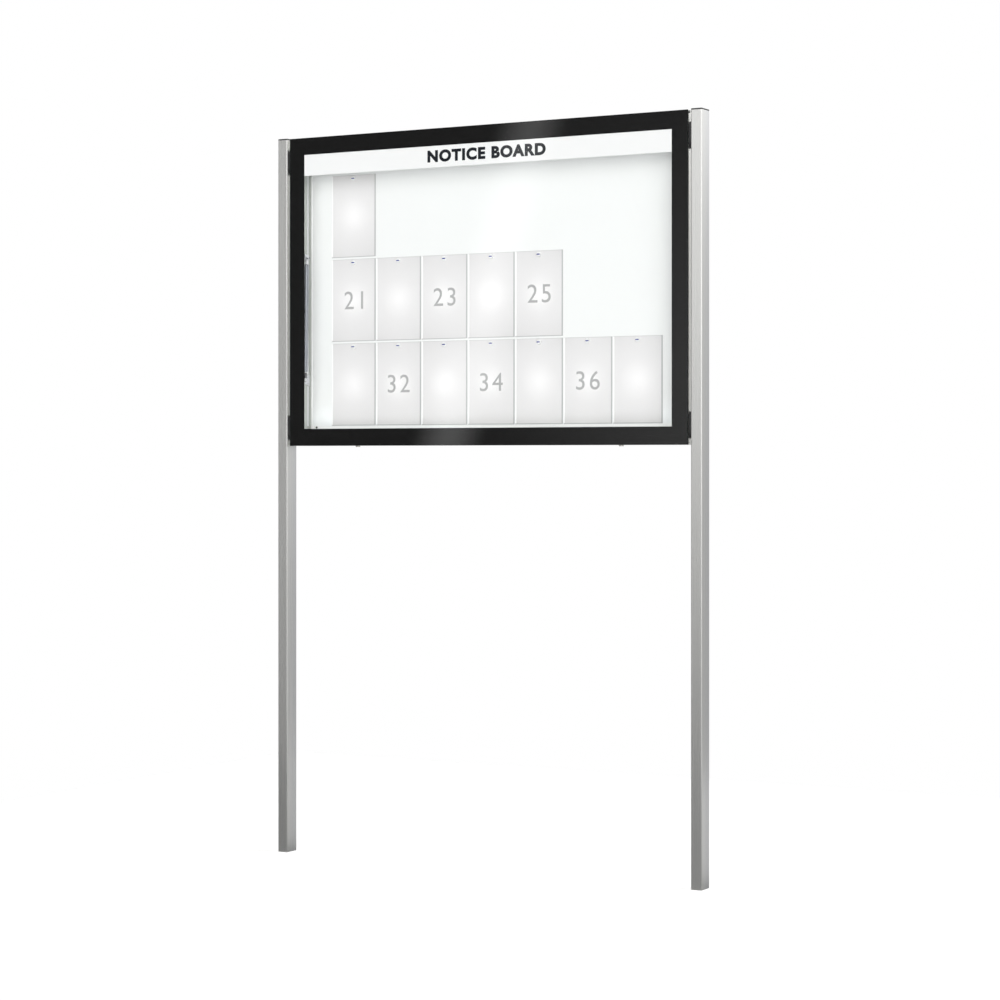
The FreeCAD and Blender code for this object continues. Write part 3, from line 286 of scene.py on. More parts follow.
black_plastic = moulded_plastic("black_moulded_plastic", (0.018, 0.018, 0.019), 0.42)
quarter_turn = np.linspace(0, np.pi / 2, ROUND_STEPS)
for side in ("left", "right"):
    low, high = corners_of(f"post_cap_{side}")
    seat = corners_of(f"post_{side}")[1][2]
    width, depth, height = high[0] - low[0], high[1] - low[1], high[2] - seat
    shoulder = height - CAP_CROWN - CAP_ROUND
    plug = [(low[2] - seat, POST_WALL + PLUG_TAPER), (-PLUG_NECK, POST_WALL + PLUG_CLEARANCE),
            (0, POST_WALL + PLUG_CLEARANCE), (0, CAP_EASE), (CAP_EASE, 0)]
    rim = [(shoulder + CAP_ROUND * np.sin(t), CAP_ROUND * (1 - np.cos(t))) for t in quarter_turn]
    crown = [(height - CAP_CROWN * (1 - s) ** 2, CAP_ROUND + s * (width / 2 - 2 * CAP_ROUND))
             for s in np.linspace(0.1, 1, 6)]
    top = np.array([(low[0] + high[0]) / 2, (low[1] + high[1]) / 2, seat])
    cap = skin(f"cap_{side}_moulding", black_plastic,
               [bar(width, depth, POST_CORNER, plug + rim + crown) + top])
    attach(cap, "root")
    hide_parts(f"post_cap_{side}")

# Spacers: black plastic blocks with round ends between the case and the posts, two to a side.
# The bolts pass through them, and they leave the gap that shows beside the case.
ALONG_X = np.array([(0, 1, 0), (0, 0, 1), (1, 0, 0)])
SPACER_HEIGHT = 90 * MM
SPACER_ROUND = 19.8 * MM
SPACER_EDGE = 2.2 * MM

for side in ("left", "right"):
    low, high = corners_of(f"spacers_{side}")
    thickness = high[0] - low[0]
    rounding = [(SPACER_EDGE * (1 - np.sin(t)), SPACER_EDGE * (1 - np.cos(t)))
                for t in quarter_turn]
    stations = rounding[::-1] + [(thickness - s, inset) for s, inset in rounding]
    block = bar(high[1] - low[1], SPACER_HEIGHT, SPACER_ROUND, stations) @ ALONG_X
    middle_y = (low[1] + high[1]) / 2
    heights = (low[2] + SPACER_HEIGHT / 2, high[2] - SPACER_HEIGHT / 2)
    spacers = skin(f"spacers_{side}_moulding", black_plastic,
                   [block + np.array([low[0], middle_y, z]) for z in heights])
    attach(spacers, "root")
    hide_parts(f"spacers_{side}")

# Bolts and rivet nuts: zinc-plated steel. Each bolt runs from inside the case profile through a
# spacer into a threaded sleeve that is pulled tight behind the wall of the post.


def mottled(name, tones, roughness, stretch=(1, 1, 1), scale=1.0, detail=2.0, **values):
    """A finish whose colour varies between two tones with a grain. Where the roughness is a pair,
    it varies with the grain as well."""
    material, tree, shader = new_material(name, **values)
    grain = object_grain(tree, stretch, Scale=scale, Detail=detail)
    tree.links.new(blend(tree, grain, *((*tone, 1) for tone in tones)),
                   shader.inputs["Base Color"])
    if isinstance(roughness, tuple):
        tree.links.new(spread(tree, grain, *roughness), shader.inputs["Roughness"])
    else:
        shader.inputs["Roughness"].default_value = roughness
    return material


def plated_steel(name, tone, roughness):
    """A bright metal clouded by the patches of its plating, between 0.88 and 1.10 of its tone."""
    return mottled(name, [0.88 * np.array(tone), 1.10 * np.array(tone)],
                   (roughness - 0.06, roughness + 0.08), scale=160.0, detail=4.0, Metallic=1.0)


def paint(material, *nodes):
    """Give CAD nodes that are shown as they are a finish of their own."""
    for node in nodes:
        for slot in frame["nodes"][node].material_slots:
            slot.material = material


zinc_plate = plated_steel("zinc_plated_steel", (0.62, 0.63, 0.65), 0.34)
paint(zinc_plate, "case_bolts", "post_rivet_nuts")

# Case: four hollow aluminium extrusions, mitred and pressed together over corner cleats. The top
# one has a rebate along its front for the hinge. The faces that look sideways are painted brighter,
# a painted light in the gaps beside the posts, and the inside is painted darker as shade, with a
# painted trace of green light from the glass.
CASE_OUTER_SIDE = 0.7945
PAINTED_GLASS_GREEN = 1.03


def case_aluminium_light_and_shade(name, axis, inner):
    """The aluminium of the posts, with painted light on the faces of the case that look sideways
    and painted shade, faintly green, within them."""
    return painted_light_and_shade_inside(extruded_aluminium(name, axis, pale=1.0), CASE_OUTER_SIDE,
                        (inner, inner * PAINTED_GLASS_GREEN, inner))


# Painted shade: within the case the level bars keep 0.90 and the uprights 0.56 of their outside
# tone.
paint(case_aluminium_light_and_shade("case_level", "X", 0.90), "case_top", "case_bottom")
paint(case_aluminium_light_and_shade("case_upright", "Z", 0.56), "case_left", "case_right")
cast_aluminium = plated_steel("cast_cleats", (0.50, 0.50, 0.51), 0.55)
paint(cast_aluminium, "case_corner_cleats")

# Back: a sheet of coated steel in the rear recess of the profiles, held all round by blind rivets
# whose domed heads show, each with the dimple its broken pin leaves.
RIVET_INSET = 7 * MM
RIVET_RADIUS = 3.2 * MM
RIVET_HEIGHT = 1.6 * MM
RIVET_EDGE = 0.3 * MM
DIMPLE_RADIUS = 1.1 * MM
DIMPLE_DEPTH = 0.8 * MM
POLE = 0.1 * MM
ALONG_Y = np.array([(0, 0, 1), (1, 0, 0), (0, 1, 0)])


def turned(profile, around):
    """Rings of a profile of (radius, distance) pairs, turned once about the third axis. A profile
    that ends on the axis stops at the radius POLE, where one small face closes it."""
    radius, distance = np.array(profile, float).T
    turn = np.linspace(0, 2 * np.pi, around, endpoint=False)
    x = radius[:, None] * np.cos(turn)
    y = radius[:, None] * np.sin(turn)
    return np.stack([x, y, np.broadcast_to(distance[:, None], x.shape)], axis=-1)


def powder_coat(name, tone, roughness):
    """Powder coat: an even colour under the soft ripple called orange peel."""
    material, tree, shader = new_material(name, Base_Color=(*tone, 1), Specular_IOR_Level=0.45)
    ripple = object_grain(tree, (1, 1, 1), Scale=260, Detail=1.0)
    roughen(tree, shader, ripple, roughness - 0.04, roughness + 0.05, 0.03, depth=0.0002)
    return material


grey_coat = powder_coat("grey_coated_steel", (0.50, 0.51, 0.52), 0.42)
paint(grey_coat, "back_sheet")
low, high = corners_of("back_sheet")
rivets_x = (high[0] - low[0]) / 2 - RIVET_INSET
rivets_z = (high[2] - low[2]) / 2 - RIVET_INSET
sheet_middle = np.array([0, high[1], (low[2] + high[2]) / 2])
dome = [(RIVET_RADIUS, 0), (RIVET_RADIUS, RIVET_EDGE)]
dome += [(RIVET_RADIUS * np.cos(t), RIVET_EDGE + (RIVET_HEIGHT - RIVET_EDGE) * np.sin(t))
         for t in np.linspace(0.2, 1.15, 6)]
dome += [(DIMPLE_RADIUS, RIVET_HEIGHT),
         (0.8 * DIMPLE_RADIUS, RIVET_HEIGHT - DIMPLE_DEPTH + POLE),
         (POLE, RIVET_HEIGHT - DIMPLE_DEPTH)]
rivet = turned(dome, 24) @ ALONG_Y
places = [(share * rivets_x, sign * rivets_z)
          for share in (-1, -0.5, 0, 0.5, 1) for sign in (-1, 1)]
places += [(-rivets_x, 0), (rivets_x, 0)]
rivets = skin("back_rivet_heads", zinc_plate,
              [rivet + sheet_middle + np.array([x, 0, z]) for x, z in places])
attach(rivets, "root")
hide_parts("back_rivets")

# Tray and panel: a white coated tray lies on the ledge of the profiles and shows as a narrow
# border round the steel panel on it, which is coated white as well and takes the magnets. The
# panel's coat is painted lighter and bluish along its head and foot, a painted light that lifts the
# shade under the header and above the foot.
PAINTED_LIGHT_REACH = 110 * MM
MIDDLE_WHITE = (0.86, 0.87, 0.865, 1)
PAINTED_LIGHT_WHITE = (0.96, 0.98, 0.99, 1)

white_coat = powder_coat("white_coated_steel", (0.97, 0.975, 0.97), 0.38)
panel_coat = powder_coat("white_panel_coat", (0.955, 0.965, 0.96), 0.42)
paint(white_coat, "panel_tray")
paint(panel_coat, "magnetic_panel")
low, high = corners_of("magnetic_panel")
tree = panel_coat.node_tree
# Painted light: the coat turns from its middle white to a lighter, bluish white in a band along its
# foot and one along its head.
near_edges = [put(tree, "MapRange", {"Value": object_axis(tree, "Z"), "From Max": edge,
                                     "From Min": edge + light_reach},
                  interpolation_type="SMOOTHSTEP").outputs["Result"]
              for edge, light_reach in ((low[2], PAINTED_LIGHT_REACH), (high[2], -PAINTED_LIGHT_REACH))]
painted_light_share = maths(tree, "ADD", *near_edges)
tree.links.new(blend(tree, painted_light_share, MIDDLE_WHITE, PAINTED_LIGHT_WHITE),
               tree.nodes["Principled BSDF"].inputs["Base Color"])

# Edge beads: two white plastic strips, quarter round, pressed between the sides of the case and
# the panel, where they cover the narrow border of the tray. In front of each the wall of the case
# has a low, flat rib of its extrusion, which leaves the strut's bracket free.
BEAD_WIDTH = 5.5 * MM
BEAD_HEIGHT = 4.5 * MM
RIB_WIDTH = 9 * MM
RIB_HEIGHT = 1.3 * MM
RIB_ROOT = 0.4 * MM
RIB_AT = 14 * MM
RIB_END = 36 * MM
BRACKET_GAP = 1 * MM


def standing(x, y, foot, head):
    """A section of points x and y, carried straight up from a foot to a head."""
    return np.array([np.column_stack([x, y, np.full(len(x), z)]) for z in (foot, head)])


tray_low, tray_high = corners_of("panel_tray")
sweep = np.linspace(0, np.pi / 2, 7)
for side, outward, wall_x in (("left", 1, tray_low[0]), ("right", -1, tray_high[0])):
    x = wall_x + outward * np.concatenate([[0], BEAD_WIDTH * np.sin(sweep)])
    y = tray_low[1] + np.concatenate([[0], -BEAD_HEIGHT * np.cos(sweep)])
    bead = skin(f"edge_bead_{side}", white_coat,
                [standing(x, y, tray_low[2] + BEAD_WIDTH, tray_high[2] - BEAD_WIDTH)])
    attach(bead, "root")
    x = wall_x + outward * (RIB_HEIGHT * np.sin(2 * sweep) - RIB_ROOT)
    y = RIB_AT - RIB_WIDTH / 2 * np.cos(2 * sweep)
    bracket_low, bracket_high = corners_of(f"strut_bracket_{side}")
    rib = skin(f"case_rib_{side}", upright_aluminium_light_and_shade,
               [standing(x, y, tray_low[2] + RIB_END, bracket_low[2] - BRACKET_GAP),
                standing(x, y, bracket_high[2] + BRACKET_GAP, tray_high[2] - RIB_END)])
    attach(rib, "root")

# Tray screws: one near each corner of the tray holds it down on the ledge of the profiles. A black
# plastic cap covers each, domed and with a round recess.
SCREW_RADIUS = 3.5 * MM
SCREW_HEIGHT = 3 * MM
SCREW_DOME = 1.2 * MM
SCREW_CROWN = 0.05 * MM
RECESS_RADIUS = 1.6 * MM
RECESS_DEPTH = 1.5 * MM

low, high = corners_of("panel_screws")
profile = [(SCREW_RADIUS, SCREW_HEIGHT), (SCREW_RADIUS, SCREW_DOME)]
profile += [(SCREW_RADIUS * np.cos(t), SCREW_DOME * (1 - np.sin(t)))
            for t in np.linspace(0.2, 1.0, 5)]
profile += [(RECESS_RADIUS, SCREW_CROWN), (RECESS_RADIUS, RECESS_DEPTH - POLE),
            (POLE, RECESS_DEPTH)]
screw = turned(profile, 24) @ ALONG_Y
screws = skin("tray_screw_caps", black_plastic,
              [screw + np.array([x, low[1], z])
               for x in (low[0] + SCREW_RADIUS, high[0] - SCREW_RADIUS)
               for z in (low[2] + SCREW_RADIUS, high[2] - SCREW_RADIUS)])
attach(screws, "root")
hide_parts("panel_screws")

# Notices: thirteen printed sheets in rows of one, five and seven, hung edge to edge on the panel.
# Each is white in the middle and shades to grey at its rim, with a bare margin on the left and grey
# lines of painted shadow along its other sides. Its two free corners stand off.
ROW_COUNTS = {"top": 1, "middle": 5, "bottom": 7}
SHEET_GAP = 3 * MM
SHEET_LIFT = 0.9 * MM
SHEET_STEPS = 12
SHEET_TONES = {0.02: 0.92, 0.42: 0.79, 0.78: 0.74, 1.0: 0.695}
SHEET_TINT = np.array((1, 0.985, 0.99))
BARE_MARGIN = 0.024
BARE_WHITE = (0.96, 0.96, 0.96, 1)
EDGE_SHADOW_LINES = (("X", "GREATER_THAN", 0.972, 1.0), ("Y", "LESS_THAN", 0.010, 1.0),
              ("Y", "GREATER_THAN", 0.993, 0.5))
EDGE_SHADOW_GREY = (0.48, 0.48, 0.485, 1)

row_low, row_high = corners_of("notices_bottom_row")
widest = ROW_COUNTS["bottom"]
sheet_width = (row_high[0] - row_low[0] - (widest - 1) * SHEET_GAP) / widest
sheet_height = row_high[2] - row_low[2]


def stand_off(across, up):
    """How far a sheet stands off at shares of its width and height. The lift grows with the square
    of the distance from the middle line and with the square of the distance below the head."""
    return SHEET_LIFT * (1 - up) ** 2 * (2 * across - 1) ** 2


def leaf(left, foot, front, back):
    """A sheet as rings from its foot to its head, each running along the face and home along the
    back, both as far out as the sheet stands off there."""
    across = np.linspace(0, 1, SHEET_STEPS + 1)
    up = np.linspace(0, 1, SHEET_STEPS + 1)[:, None]
    lift = stand_off(across, up)
    x = np.broadcast_to(left + across * sheet_width, lift.shape)
    z = np.broadcast_to(foot + up * sheet_height, lift.shape)
    face = np.stack([x, front - lift, z], axis=-1)
    rear = np.stack([x, back - lift, z], axis=-1)[:, ::-1]
    return np.concatenate([face, rear], axis=1)


def share_of(points, low, size):
    """Where points lie across and up a sheet, from 0 to 1 both ways."""
    return (points.reshape(-1, 3)[:, [0, 2]] - low) / size


printed_paper, tree, shader = new_material("printed_paper", Roughness=0.55,
                                           Specular_IOR_Level=0.35)
uv = tree.nodes.new("ShaderNodeUVMap")
uv.uv_map = "sheet"
uv = uv.outputs["UV"]
half_diagonal = math.hypot(sheet_width, sheet_height) / 2
centred = put(tree, "Mapping", {"Vector": uv,
                                "Location": (-sheet_width / 2 / half_diagonal,
                                             -sheet_height / 2 / half_diagonal, 0),
                                "Scale": (sheet_width / half_diagonal,
                                          sheet_height / half_diagonal, 1)})
radius = put(tree, "VectorMath", {0: centred.outputs["Vector"]}, operation="LENGTH")
ramp = put(tree, "ValToRGB", {"Fac": radius.outputs["Value"]})
for position in list(SHEET_TONES)[1:-1]:
    ramp.color_ramp.elements.new(position)
for element, (position, tone) in zip(ramp.color_ramp.elements, SHEET_TONES.items()):
    element.position = position
    element.color = (*(tone * SHEET_TINT), 1)
place = put(tree, "SeparateXYZ", {"Vector": uv}).outputs
# Painted shadow: grey lines along the right side, the foot and, fainter, the head of each sheet.
lines = [maths(tree, "MULTIPLY", maths(tree, side, place[axis], limit), strength)
         for axis, side, limit, strength in EDGE_SHADOW_LINES]
edge_shadow = maths(tree, "MAXIMUM", maths(tree, "MAXIMUM", lines[0], lines[1]), lines[2])
bare = maths(tree, "LESS_THAN", place["X"], BARE_MARGIN)
printed = blend(tree, bare, ramp.outputs["Color"], BARE_WHITE)
tree.links.new(blend(tree, edge_shadow, printed, EDGE_SHADOW_GREY), shader.inputs["Base Color"])
for row, count in ROW_COUNTS.items():
    low, high = corners_of(f"notices_{row}_row")
    lefts = [low[0] + k * (sheet_width + SHEET_GAP) for k in range(count)]
    leaves = [leaf(left, low[2], low[1], high[1]) for left in lefts]
    sheets = skin(f"notices_{row}", printed_paper, leaves)
    shares = [share_of(grid, (left, low[2]), (sheet_width, sheet_height))
              for grid, left in zip(leaves, lefts)]
    vertex_of = np.empty(len(sheets.data.loops), int)
    sheets.data.loops.foreach_get("vertex_index", vertex_of)
    layer = sheets.data.uv_layers.new(name="sheet")
    layer.data.foreach_set("uv", np.concatenate(shares)[vertex_of].ravel())
    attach(sheets, "root")
    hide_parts(f"notices_{row}_row")

# Numbers on the notices: every other sheet of the two lower rows carries the number of its place,
# row and column, printed thinly in light grey in the middle of the sheet, whose curve it follows.
NUMBERED = {"middle": (1, 3, 5), "bottom": (2, 4, 6)}
NUMBER_HEIGHT = 64 * MM
NUMBER_SPACING = 1.2
INK = 0.06 * MM


def points_of(mesh):
    """The vertices of a mesh as rows of x, y and z."""
    points = np.empty(len(mesh.vertices) * 3)
    mesh.vertices.foreach_get("co", points)
    return points.reshape(-1, 3)


def lettering(name, material, text, height, width, middle, front, weight, spacing):
    """Flat raised characters that face forward, fitted about a middle to a height and a width, or
    to the height alone."""
    curve = bpy.data.curves.new(name, "FONT")
    curve.body = text
    curve.offset = weight
    curve.space_character = spacing
    curve.extrude = 0.5
    curve.resolution_u = 6
    written = bpy.data.objects.new(name, curve)
    bpy.context.scene.collection.objects.link(written)
    solid = written.evaluated_get(bpy.context.evaluated_depsgraph_get())
    mesh = bpy.data.meshes.new_from_object(solid)
    bpy.data.objects.remove(written)
    points = points_of(mesh)
    low, high = points.min(axis=0), points.max(axis=0)
    unit = (points - (low + high) / 2) / (high - low)
    if width is None:
        width = height * (high[0] - low[0]) / (high[1] - low[1])
    placed = np.stack([middle[0] + unit[:, 0] * width, front - (unit[:, 2] + 0.5) * INK,
                       middle[1] + unit[:, 1] * height], axis=-1)
    mesh.vertices.foreach_set("co", placed.ravel())
    mesh.update()
    mesh.materials.append(material)
    piece = bpy.data.objects.new(name, mesh)
    bpy.context.scene.collection.objects.link(piece)
    return piece


grey_ink = mottled("grey_ink", [(0.40, 0.40, 0.40), (0.44, 0.44, 0.44)], 0.6, scale=900.0,
                   Specular_IOR_Level=0.3)
for row, columns in NUMBERED.items():
    low, high = corners_of(f"notices_{row}_row")
    for column in columns:
        text = str((list(ROW_COUNTS).index(row) + 1) * 10 + column)
        left = low[0] + (column - 1) * (sheet_width + SHEET_GAP)
        middle = (left + sheet_width / 2, (low[2] + high[2]) / 2)
        number = lettering(f"notice_number_{text}", grey_ink, text, NUMBER_HEIGHT, None, middle,
                           low[1], weight=0.0, spacing=NUMBER_SPACING)
        points = points_of(number.data)
        across, up = share_of(points, (left, low[2]), (sheet_width, sheet_height)).T
        points[:, 1] -= stand_off(across, up)
        number.data.vertices.foreach_set("co", points.ravel())
        number.data.update()
        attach(number, "root")

# Magnets: white plastic discs over a disc magnet, one at the head of each sheet, with a domed face
# and a blue bar let into it.
MAGNET_RADIUS = 8.5 * MM
MAGNET_DROP = 13 * MM
MAGNET_SIDE = 2.4 * MM
MAGNET_ROUND = 1.6 * MM
MAGNET_FACE = 0.3 * MM
MAGNET_CROWN = 0.05 * MM
MAGNET_CHAMFER = 0.4 * MM
BAR_WIDTH = 13 * MM
BAR_HEIGHT = 4 * MM
BAR_CORNER = 1.2 * MM
BAR_EDGE = 0.2 * MM
BAR_BEVEL = 0.3 * MM

low, high = corners_of("magnets")
magnet_height = high[1] - low[1]
shell = [(MAGNET_RADIUS - MAGNET_CHAMFER, magnet_height),
         (MAGNET_RADIUS, magnet_height - MAGNET_CHAMFER), (MAGNET_RADIUS, MAGNET_SIDE)]
shell += [(MAGNET_RADIUS - MAGNET_ROUND * (1 - np.cos(t)), MAGNET_SIDE - MAGNET_ROUND * np.sin(t))
          for t in np.linspace(0.3, 1.3, 5)]
shell += [(0.55 * MAGNET_RADIUS, MAGNET_FACE + MAGNET_CROWN), (POLE, MAGNET_FACE)]
disc = turned(shell, 36) @ ALONG_Y
inlay = bar(BAR_HEIGHT, BAR_WIDTH, BAR_CORNER,
            [(0, BAR_BEVEL), (BAR_EDGE, 0), (3 * BAR_EDGE, 0)]) @ ALONG_Y
seats = []
for row, count in ROW_COUNTS.items():
    row_corner = corners_of(f"notices_{row}_row")
    for k in range(count):
        x = row_corner[0][0] + (k + 0.5) * sheet_width + k * SHEET_GAP
        seats.append(np.array([x, low[1], row_corner[1][2] - MAGNET_DROP]))
white_plastic = moulded_plastic("white_moulded_plastic", (0.85, 0.85, 0.85), 0.30)
discs = skin("magnet_discs", white_plastic, [disc + seat for seat in seats])
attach(discs, "root")
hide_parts("magnets")
blue_plastic = moulded_plastic("blue_moulded_plastic", (0.05, 0.06, 0.27), 0.35)
inlays = skin("magnet_bars", blue_plastic, [inlay + seat for seat in seats])
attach(inlays, "root")

# Seal: black rubber strip in the front of the case, along both sides and the foot, that the door
# closes on.
rubber = moulded_plastic("black_rubber", (0.022, 0.022, 0.022), 0.62, grain=700, relief=0.2)
paint(rubber, "case_seal")

# Door glass: one pane of toughened glass, 4 mm thick with ground edges. The black border is fired
# on its back, so over the border only the front face reflects on its own.
GROUND_EDGE = 0.4 * MM
GLASS_CORNER = 1.5 * MM
PRINT_RELIEF = 0.1 * MM
WINDOW_INSET = 61 * MM
LEAST_MIRRORED = 0.04
MOST_MIRRORED = 0.16


def empty_material(name):
    """A material without nodes, returned with its tree."""
    material = bpy.data.materials.new(name)
    material.use_nodes = True
    material.node_tree.nodes.clear()
    return material, material.node_tree


def clear_glass(name, tint):
    """Flat glass: light goes straight through, tinted a little, and the front face reflects by
    Schlick's rule, four parts in a hundred and the rest with the fifth power of the slant, up to
    the most that leaves the door in view when it is seen at a low slant."""
    material, tree = empty_material(name)
    slant = put(tree, "LayerWeight", {"Blend": 0.5}).outputs["Facing"]
    steep = maths(tree, "POWER", slant, 5.0)
    share = maths(tree, "MULTIPLY_ADD", steep, 1 - LEAST_MIRRORED, LEAST_MIRRORED)
    share = maths(tree, "MINIMUM", share, MOST_MIRRORED)
    through = put(tree, "BsdfTransparent", {"Color": (*tint, 1)}).outputs["BSDF"]
    mirror = put(tree, "BsdfGlossy", {"Roughness": 0.0}).outputs["BSDF"]
    mix = put(tree, "MixShader", {"Fac": share, 1: through, 2: mirror}).outputs["Shader"]
    put(tree, "OutputMaterial", {"Surface": mix})
    return material


low, high = corners_of("door_glass")
thickness = high[1] - low[1] - PRINT_RELIEF
stations = [(0, GROUND_EDGE), (GROUND_EDGE, 0), (thickness - GROUND_EDGE, 0),
            (thickness, GROUND_EDGE), (thickness, WINDOW_INSET)]
pane_outline = bar(high[2] - low[2], high[0] - low[0], GLASS_CORNER, stations) @ ALONG_Y
face_glass = clear_glass("glass_face", (0.993, 0.996, 0.995))
edge_glass = mottled("glass_edge", [(0.004, 0.008, 0.007), (0.009, 0.016, 0.014)], 0.4,
                     scale=1200.0, Specular_IOR_Level=0.3)
back_glass, tree = empty_material("glass_back")
clear = put(tree, "BsdfTransparent", {"Color": (0.96, 0.963, 0.962, 1)})
put(tree, "OutputMaterial", {"Surface": clear.outputs["BSDF"]})
pane = skin("glass_pane", face_glass,
            [pane_outline + np.array([0, low[1], (low[2] + high[2]) / 2])])
for material in (edge_glass, back_glass):
    pane.data.materials.append(material)
# Its faces in their order: three strips round the edge, one behind the border, front and window.
strip = pane_outline.shape[1]
zones = np.full(len(pane.data.polygons), 2)
zones[:3 * strip] = 1
zones[4 * strip] = 0
pane.data.polygons.foreach_set("material_index", zones)
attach(pane, "door")
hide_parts("door_glass")

# Border: black ceramic ink, printed on the back of the pane and fired into it. The front face of
# the pane gives it its gloss.
black_ink = mottled("black_ceramic_ink", [(0.0042, 0.0042, 0.0042), (0.0056, 0.0056, 0.0056)],
                    (0.6, 0.75), scale=2500.0, detail=1.0, Specular_IOR_Level=0.05)
paint(black_ink, "door_border")

# Door frame: aluminium angle bonded to the glass behind the border with foam tape, cleated at its
# corners. Its top rail runs up into a leaf with the moving knuckles of the hinge.
foam = moulded_plastic("tape_foam", (0.03, 0.03, 0.03), 0.8, grain=500, relief=0.3)
paint(level_aluminium, "door_top_rail", "door_bottom_rail")
paint(upright_aluminium_light_and_shade, "door_stile_left", "door_stile_right")
paint(cast_aluminium, "door_corner_cleats")
paint(foam, "glazing_tape")

# Header: a white plastic strip that hangs behind the glass under the top border, with a plain
# heading set in bold black capitals across its middle.
HEADING_TEXT = "NOTICE BOARD"
HEADING_HEIGHT = 43 * MM
HEADING_WIDTH = 472.5 * MM
HEADING_MIDDLE = 21.25 * MM
HEADING_WEIGHT = 0.055
HEADING_SPACING = 1.15

header_white = moulded_plastic("header_plastic", (0.84, 0.84, 0.84), 0.45, grain=900, relief=0.02)
paint(header_white, "header_strip")
low, high = corners_of("header_strip")
letter_black = mottled("letter_black", [(0.004, 0.006, 0.010), (0.008, 0.010, 0.015)], 0.6,
                       scale=1500.0, detail=1.0, Specular_IOR_Level=0.15)
heading = lettering("heading", letter_black, HEADING_TEXT, HEADING_HEIGHT, HEADING_WIDTH,
                    (HEADING_MIDDLE, (low[2] + high[2]) / 2), low[1],
                    weight=HEADING_WEIGHT, spacing=HEADING_SPACING)
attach(heading, "door")

# Hinge pin: one long stainless steel rod, pushed through all the knuckles of the case and the door
# from one end.
bright_steel = plated_steel("bright_steel", (0.66, 0.66, 0.67), 0.22)
paint(bright_steel, "hinge_pin")

# Gas struts: a lacquered steel cylinder rolled in at its neck and head, with an eye above, and a
# hard-chromed rod in a socket below. One stands at each side wall and leans with the open door.
CYLINDER_RADIUS = 9 * MM
CYLINDER_BORE = 7.5 * MM
CYLINDER_START = 30 * MM
CYLINDER_GUIDE = 25 * MM
CYLINDER_BASE = 10 * MM
ROLLED_IN = 2 * MM
GROOVE = 0.7 * MM
GROOVE_HALF = 1.5 * MM
GROOVE_FLAT = 0.5 * MM
GROOVE_LOW = 10 * MM
GROOVE_HIGH = 12 * MM
ROD_RADIUS = 4 * MM
ROD_CHAMFER = 0.3 * MM
PISTON_LOW, PISTON_HIGH = 25 * MM, 13 * MM
RUNNING_FIT = 0.1 * MM
EYE_RADIUS = 11 * MM
EYE_THICKNESS = 8 * MM
EYE_EDGE = 1 * MM
EYE_NECK = 12 * MM
BORE_RADIUS = 4.6 * MM
MOUTH_RADIUS = 5.2 * MM
MOUTH_DEPTH = 1.5 * MM
FILL_RADIUS = 4.8 * MM
FILL_HALF = 1 * MM
NECK_RADIUS = 3.6 * MM
COLLAR_RADIUS = 4.6 * MM
COLLAR_HEIGHT = 2 * MM
COLLAR_TAPER = 1.5 * MM
LAP = 0.2 * MM
SOCKET_RADIUS = 8 * MM
SOCKET_EDGE = 0.8 * MM
SLEEVE_RADIUS = 5.5 * MM
SLEEVE_EDGE = 0.6 * MM
SLEEVE_START = 6 * MM
SLEEVE_END = 25.6 * MM
SLEEVE_BASE = 1 * MM
joints = {joint["name"]: joint for joint in frame["joints"]}


def groove(middle):
    """Profile of a rolled groove, from its upper edge down: the wall runs in over its upper slope,
    along its flat and out again over its lower slope."""
    return [(CYLINDER_RADIUS, middle + GROOVE_HALF),
            (CYLINDER_RADIUS - GROOVE, middle + GROOVE_FLAT),
            (CYLINDER_RADIUS - GROOVE, middle - GROOVE_FLAT),
            (CYLINDER_RADIUS, middle - GROOVE_HALF)]


